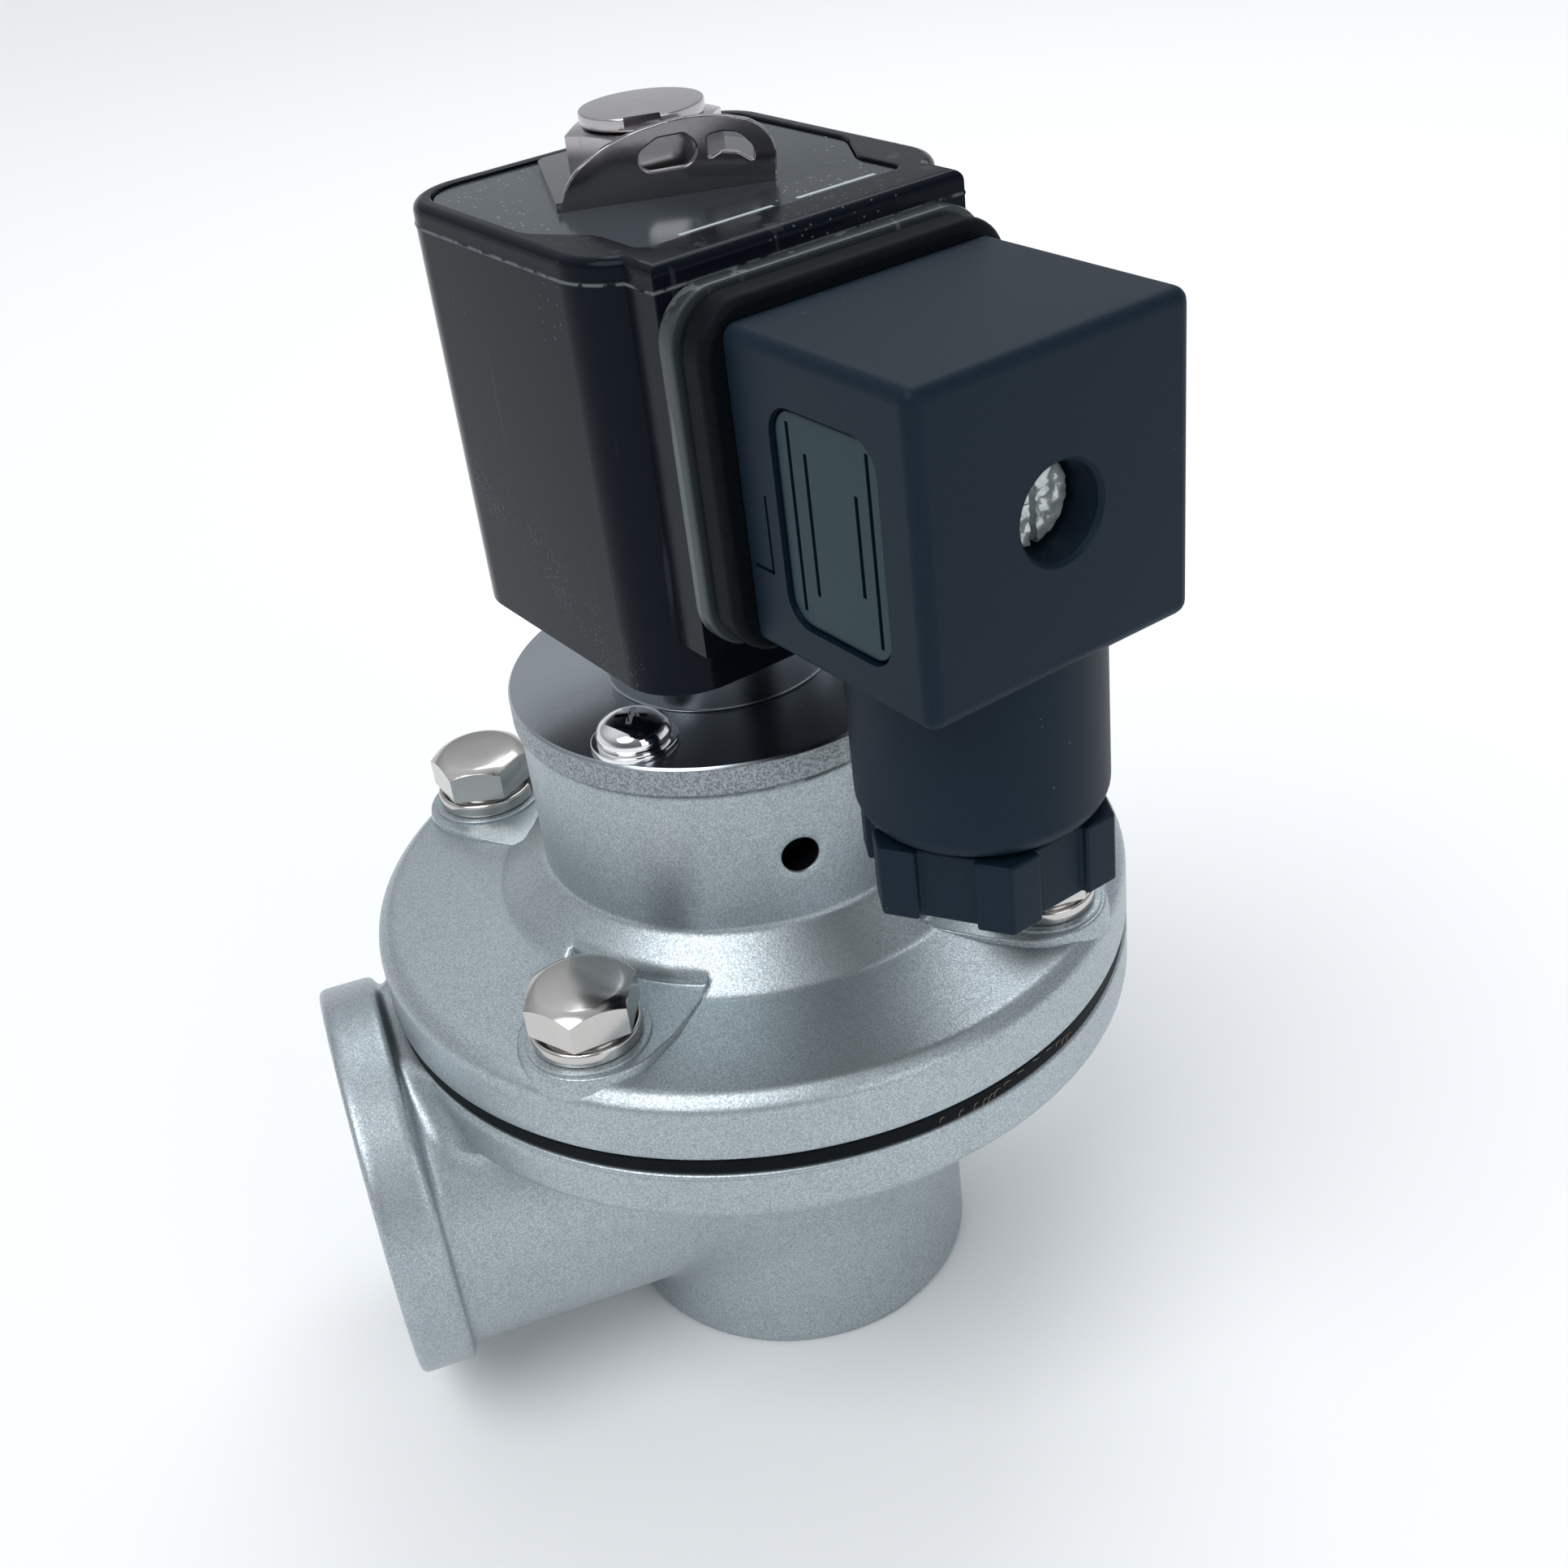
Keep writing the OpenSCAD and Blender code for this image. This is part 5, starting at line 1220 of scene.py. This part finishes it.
def dress_resin():
    """Dust and scuffs on the coil, and the pale flash line round its top"""
    material = finish_named("coil_resin")
    tree = material.node_tree
    lay_over(material, dust_and_glint_mask(tree, 0.5, 2100.0, 0.22, 38.0, 0.58), DUST, 0.7)
    lay_over(material, scuff_mask(tree, 0.3, 420.0, 0.35, 0.64), (0.05, 0.055, 0.065), 0.5)
    across, along, up = coil_place(tree)
    slope = math_node(tree, "SUBTRACT", up, product(tree, along, 0.6))
    diagonal = band(tree, slope, 97.0, 103.5, 2.5)
    left = falling(tree, across, 0.3 - COIL_HALF, 0.7 - COIL_HALF)
    fine = dust_and_glint_mask(tree, 0.55, 3600.0, 0.33, 260.0, 0.42)
    lay_over(material, product(tree, diagonal, left, fine), (0.12, 0.135, 0.15), 0.6)
    flash = band(tree, up, FLASH_Z - 0.1, FLASH_Z + 0.13, 0.1)
    broken = ramp(tree, noise_value(tree, object_place(tree), 700.0, 3.0), 0.36, 0.5)
    lay_over(material, product(tree, flash, broken), (0.13, 0.14, 0.15), 0.5)


def dress_label():
    """A bare dark strip near the front of the label, two thin light lines, and a painted reflection that
    makes its left side paler
    """
    material = finish_named("label_plate")
    tree = material.node_tree
    across, along, up = coil_place(tree)
    # Painted reflection: the left side of the glossy label is made paler
    lay_over(material, product(tree, falling(tree, across, -9.0, -2.0), 0.7), (0.055, 0.066, 0.075), 0.16)
    slanted = math_node(tree, "SUBTRACT", across, product(tree, along, 0.6))
    strip = product(tree, band(tree, along, -17.2, -13.9, 0.12), ramp(tree, slanted, 4.6 * MM, 4.9 * MM),
                    falling(tree, across, 11.5, 11.8))
    lay_over(material, strip, (0.004, 0.006, 0.010), 0.3)
    for low, high in ((-9.0, 0.4), (2.9, 11.2)):
        line = product(tree, band(tree, along, -18.4, -17.9, 0.08), band(tree, across, low, high, 0.1))
        lay_over(material, line, (0.45, 0.50, 0.52), 0.35)
    lay_over(material, dust_and_glint_mask(tree, 0.5, 1300.0, 0.18, 90.0, 0.5), (0.35, 0.37, 0.4), 0.6)


def dress_mouldings():
    """The connector's smoother side panels with a painted sheen, its dust, and scuffs on the base and the
    steel
    """
    material = finish_named("connector_moulding")
    tree = material.node_tree
    across, along, up = coil_place(tree)
    panel = product(tree, band(tree, along, -47.7, -35.5, 0.1), band(tree, up, 102.6, 120.4, 0.1))
    outside = math_node(tree, "COMPARE", math_node(tree, "ABSOLUTE", across), 13.35 * MM)
    outside.node.inputs[2].default_value = 0.05 * MM
    # Painted sheen: the smoother side panels are made paler teal; their lower roughness is real
    lay_over(material, product(tree, panel, outside), (0.018, 0.038, 0.047), 0.42)
    lay_over(material, dust_and_glint_mask(tree, 0.3, 1100.0, 0.12, 60.0, 0.56), DUST)
    for name, scuffs, colour, rough in (("base_moulding", (0.6, 500.0, 0.1, 0.6), (0.14, 0.16, 0.15), 0.5),
                                        ("satin_steel", (0.3, 900.0, 0.9, 0.62), (0.45, 0.43, 0.42), 0.3)):
        material = finish_named(name)
        lay_over(material, scuff_mask(material.node_tree, *scuffs), colour, rough)


def make_finishes(colours):
    """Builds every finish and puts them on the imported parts"""
    build_surface_group()
    build_speck_group()
    build_scratch_group()
    chosen = {"cast_aluminium": colours.cast[:], "coil_resin": colours.resin[:],
              "connector_moulding": colours.housing[:], "base_moulding": colours.base[:]}
    for name in FINISHES:
        build_finish(name, chosen)
    for dress in (dress_cast, dress_plate, dress_resin, dress_label, dress_mouldings):
        dress()
    for part in frame["record"]["subparts"]:
        node = frame["nodes"][part["node"]]
        finish = finish_named(part["material_slot"])
        if not node.material_slots:
            node.data.materials.append(finish)
        for place in node.material_slots:
            place.material = finish


# Stage

# Camera found from the photo: lens in millimetres, place in millimetres, and turn, tilt and roll in degrees
CAMERA_LENS = 43.69
CAMERA_PLACE = (-41.36, -168.69, 172.81)
CAMERA_TURN = (-15.41, 32.17, -7.25)
# What the area lights look at
LIGHT_AIM = Vector((0, 0, 0.08))


def placed_object(name, data):
    """A new object in the scene"""
    made = bpy.data.objects.new(name, data)
    bpy.context.scene.collection.objects.link(made)
    return made


def aim_light(light, direction):
    light.rotation_euler = direction.to_track_quat("-Z", "Y").to_euler()


def area_light(name, energy, size, place, colour):
    data = bpy.data.lights.new(name, "AREA")
    data.energy, data.size, data.color = energy, size, colour
    light = placed_object(name, data)
    light.location = place
    aim_light(light, LIGHT_AIM - Vector(place))


def make_floor(colour):
    """A broad plain floor"""
    bm = bmesh.new()
    bmesh.ops.create_grid(bm, x_segments=1, y_segments=1, size=6)
    mesh = bpy.data.meshes.new("studio_floor")
    bm.to_mesh(mesh)
    bm.free()
    material = bpy.data.materials.new("studio_floor")
    material.use_nodes = True
    shader = material.node_tree.nodes["Principled BSDF"].inputs
    shader["Base Color"].default_value = (*colour, 1)
    shader["Roughness"].default_value = 0.75
    mesh.materials.append(material)
    placed_object("studio_floor", mesh)


def make_sky():
    """A cool sky, brightest overhead and behind the valve and along the horizon"""
    world = bpy.data.worlds.new("studio")
    world.use_nodes = True
    tree = world.node_tree
    sky = tree.nodes["Background"].inputs
    sky["Color"].default_value = (0.93, 0.965, 1.0, 1)
    toward = apart(tree, tree.nodes.new("ShaderNodeTexCoord").outputs["Generated"])
    overhead = ramp(tree, toward[2], 0.1, 0.95, 0.30, 0.85)
    behind = ramp(tree, toward[1], -0.7, 0.6, 0.35, 1.0)
    horizon = ramp(tree, toward[2], 0.12, 0.36, 0.8, 0.0)
    strength = math_node(tree, "MAXIMUM", product(tree, overhead, behind), horizon)
    tree.links.new(strength, sky["Strength"])
    bpy.context.scene.world = world


def make_lights():
    """A soft sun from the left front, and an area light in front and one behind"""
    sun = bpy.data.lights.new("sun", "SUN")
    sun.energy, sun.angle, sun.color = 1.5, math.radians(40), (0.98, 0.99, 1.0)
    aim_light(placed_object("sun", sun), Vector((0.35, 0.25, -0.65)))
    area_light("front", 0.9, 0.4, (0.25, -0.65, 0.45), (0.95, 0.98, 1.0))
    area_light("back", 1.7, 0.5, (0.22, 0.38, 0.75), (0.96, 0.98, 1.0))


def make_camera():
    """The camera that the photo was taken with, as far as it could be found"""
    data = bpy.data.cameras.new("camera")
    data.lens, data.sensor_width, data.clip_start = CAMERA_LENS, 36, 0.01
    azimuth, elevation, roll = (math.radians(a) for a in CAMERA_TURN)
    back = Vector((math.sin(azimuth) * math.cos(elevation), -math.cos(azimuth) * math.cos(elevation),
                   math.sin(elevation)))
    right = Vector((math.cos(azimuth), math.sin(azimuth), 0))
    up = back.cross(right)
    tilted_right = right * math.cos(roll) + up * math.sin(roll)
    tilted_up = up * math.cos(roll) - right * math.sin(roll)
    matrix = Matrix((tilted_right, tilted_up, back)).transposed().to_4x4()
    matrix.translation = Vector(CAMERA_PLACE) * MM
    camera = placed_object("camera", data)
    camera.matrix_world = matrix
    bpy.context.scene.camera = camera


def make_stage(colours):
    """Floor, sky, lights and camera"""
    bpy.context.scene.view_settings.view_transform = "Standard"
    make_floor(colours.floor[:])
    make_sky()
    make_lights()
    make_camera()


# Operators

class PULSEVALVE_OT_finishes(bpy.types.Operator):
    """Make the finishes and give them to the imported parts"""

    bl_idname = "pulsevalve.finishes"
    bl_label = "Finishes"

    def execute(self, context):
        make_finishes(context.scene.valve_colours)
        return {"FINISHED"}


class PULSEVALVE_OT_body(bpy.types.Operator):
    """Model the cast body with its ports and threads"""

    bl_idname = "pulsevalve.body"
    bl_label = "Cast body"

    def execute(self, context):
        make_body_casting(context.scene.valve_sizes)
        return {"FINISHED"}


class PULSEVALVE_OT_bonnet(bpy.types.Operator):
    """Model the cast bonnet with its pads and exhaust hole"""

    bl_idname = "pulsevalve.bonnet"
    bl_label = "Bonnet"

    def execute(self, context):
        make_bonnet_casting()
        return {"FINISHED"}


class PULSEVALVE_OT_diaphragm(bpy.types.Operator):
    """Model the rubber diaphragm with its loose threads, and the two springs"""

    bl_idname = "pulsevalve.diaphragm"
    bl_label = "Diaphragm"

    def execute(self, context):
        make_diaphragm()
        make_coil_springs()
        return {"FINISHED"}


class PULSEVALVE_OT_bolts(bpy.types.Operator):
    """Model the flange bolts and their spring washers"""

    bl_idname = "pulsevalve.bolts"
    bl_label = "Flange bolts"

    def execute(self, context):
        make_flange_bolts()
        make_spring_washers()
        return {"FINISHED"}


class PULSEVALVE_OT_pilot(bpy.types.Operator):
    """Model the pilot plate with its screws and washers"""

    bl_idname = "pulsevalve.pilot"
    bl_label = "Pilot plate"

    def execute(self, context):
        make_pilot_plate()
        make_pilot_screws()
        return {"FINISHED"}


class PULSEVALVE_OT_coil(bpy.types.Operator):
    """Model the moulded coil and the label in its recess"""

    bl_idname = "pulsevalve.coil"
    bl_label = "Coil"

    def execute(self, context):
        make_coil_housing(context.scene.valve_sizes)
        make_label()
        return {"FINISHED"}


class PULSEVALVE_OT_coil_nut(bpy.types.Operator):
    """Model the coil's nut and its sheet clip"""

    bl_idname = "pulsevalve.coil_nut"
    bl_label = "Coil nut and clip"

    def execute(self, context):
        make_coil_nut()
        make_clip()
        return {"FINISHED"}


class PULSEVALVE_OT_terminal_base(bpy.types.Operator):
    """Model the terminal base and the rubber gasket"""

    bl_idname = "pulsevalve.terminal_base"
    bl_label = "Terminal base and gasket"

    def execute(self, context):
        make_terminal_base()
        return {"FINISHED"}


class PULSEVALVE_OT_connector(bpy.types.Operator):
    """Model the connector housing, its screw and the gland nut"""

    bl_idname = "pulsevalve.connector"
    bl_label = "Connector"

    def execute(self, context):
        make_connector(context.scene.valve_sizes)
        make_connector_screw()
        make_gland_nut()
        return {"FINISHED"}


class PULSEVALVE_OT_stage(bpy.types.Operator):
    """Set the floor, the light and the camera"""

    bl_idname = "pulsevalve.stage"
    bl_label = "Stage"

    def execute(self, context):
        make_stage(context.scene.valve_colours)
        return {"FINISHED"}


OPERATORS = (PULSEVALVE_OT_finishes, PULSEVALVE_OT_body, PULSEVALVE_OT_bonnet, PULSEVALVE_OT_diaphragm,
             PULSEVALVE_OT_bolts, PULSEVALVE_OT_pilot, PULSEVALVE_OT_coil, PULSEVALVE_OT_coil_nut,
             PULSEVALVE_OT_terminal_base, PULSEVALVE_OT_connector, PULSEVALVE_OT_stage)


class PULSEVALVE_PT_sidebar(bpy.types.Panel):
    """Buttons that build the valve piece by piece"""

    bl_idname = "PULSEVALVE_PT_sidebar"
    bl_label = "Pulse Valve"
    bl_space_type = "VIEW_3D"
    bl_region_type = "UI"
    bl_category = "Pulse Valve"

    def draw(self, context):
        for group in (context.scene.valve_sizes, context.scene.valve_colours):
            for key in group.__annotations__:
                self.layout.prop(group, key)
        for operator in OPERATORS:
            self.layout.operator(operator.bl_idname)


CLASSES = (ValveSizes, ValveColours, *OPERATORS, PULSEVALVE_PT_sidebar)


def register():
    for cls in CLASSES:
        bpy.utils.register_class(cls)
    bpy.types.Scene.valve_sizes = PointerProperty(type=ValveSizes)
    bpy.types.Scene.valve_colours = PointerProperty(type=ValveColours)


def unregister():
    del bpy.types.Scene.valve_colours
    del bpy.types.Scene.valve_sizes
    for cls in reversed(CLASSES):
        bpy.utils.unregister_class(cls)


def main():
    register()
    for operator in OPERATORS:
        group, name = operator.bl_idname.split(".")
        getattr(getattr(bpy.ops, group), name)()
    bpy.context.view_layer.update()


if __name__ == "__main__":
    main()
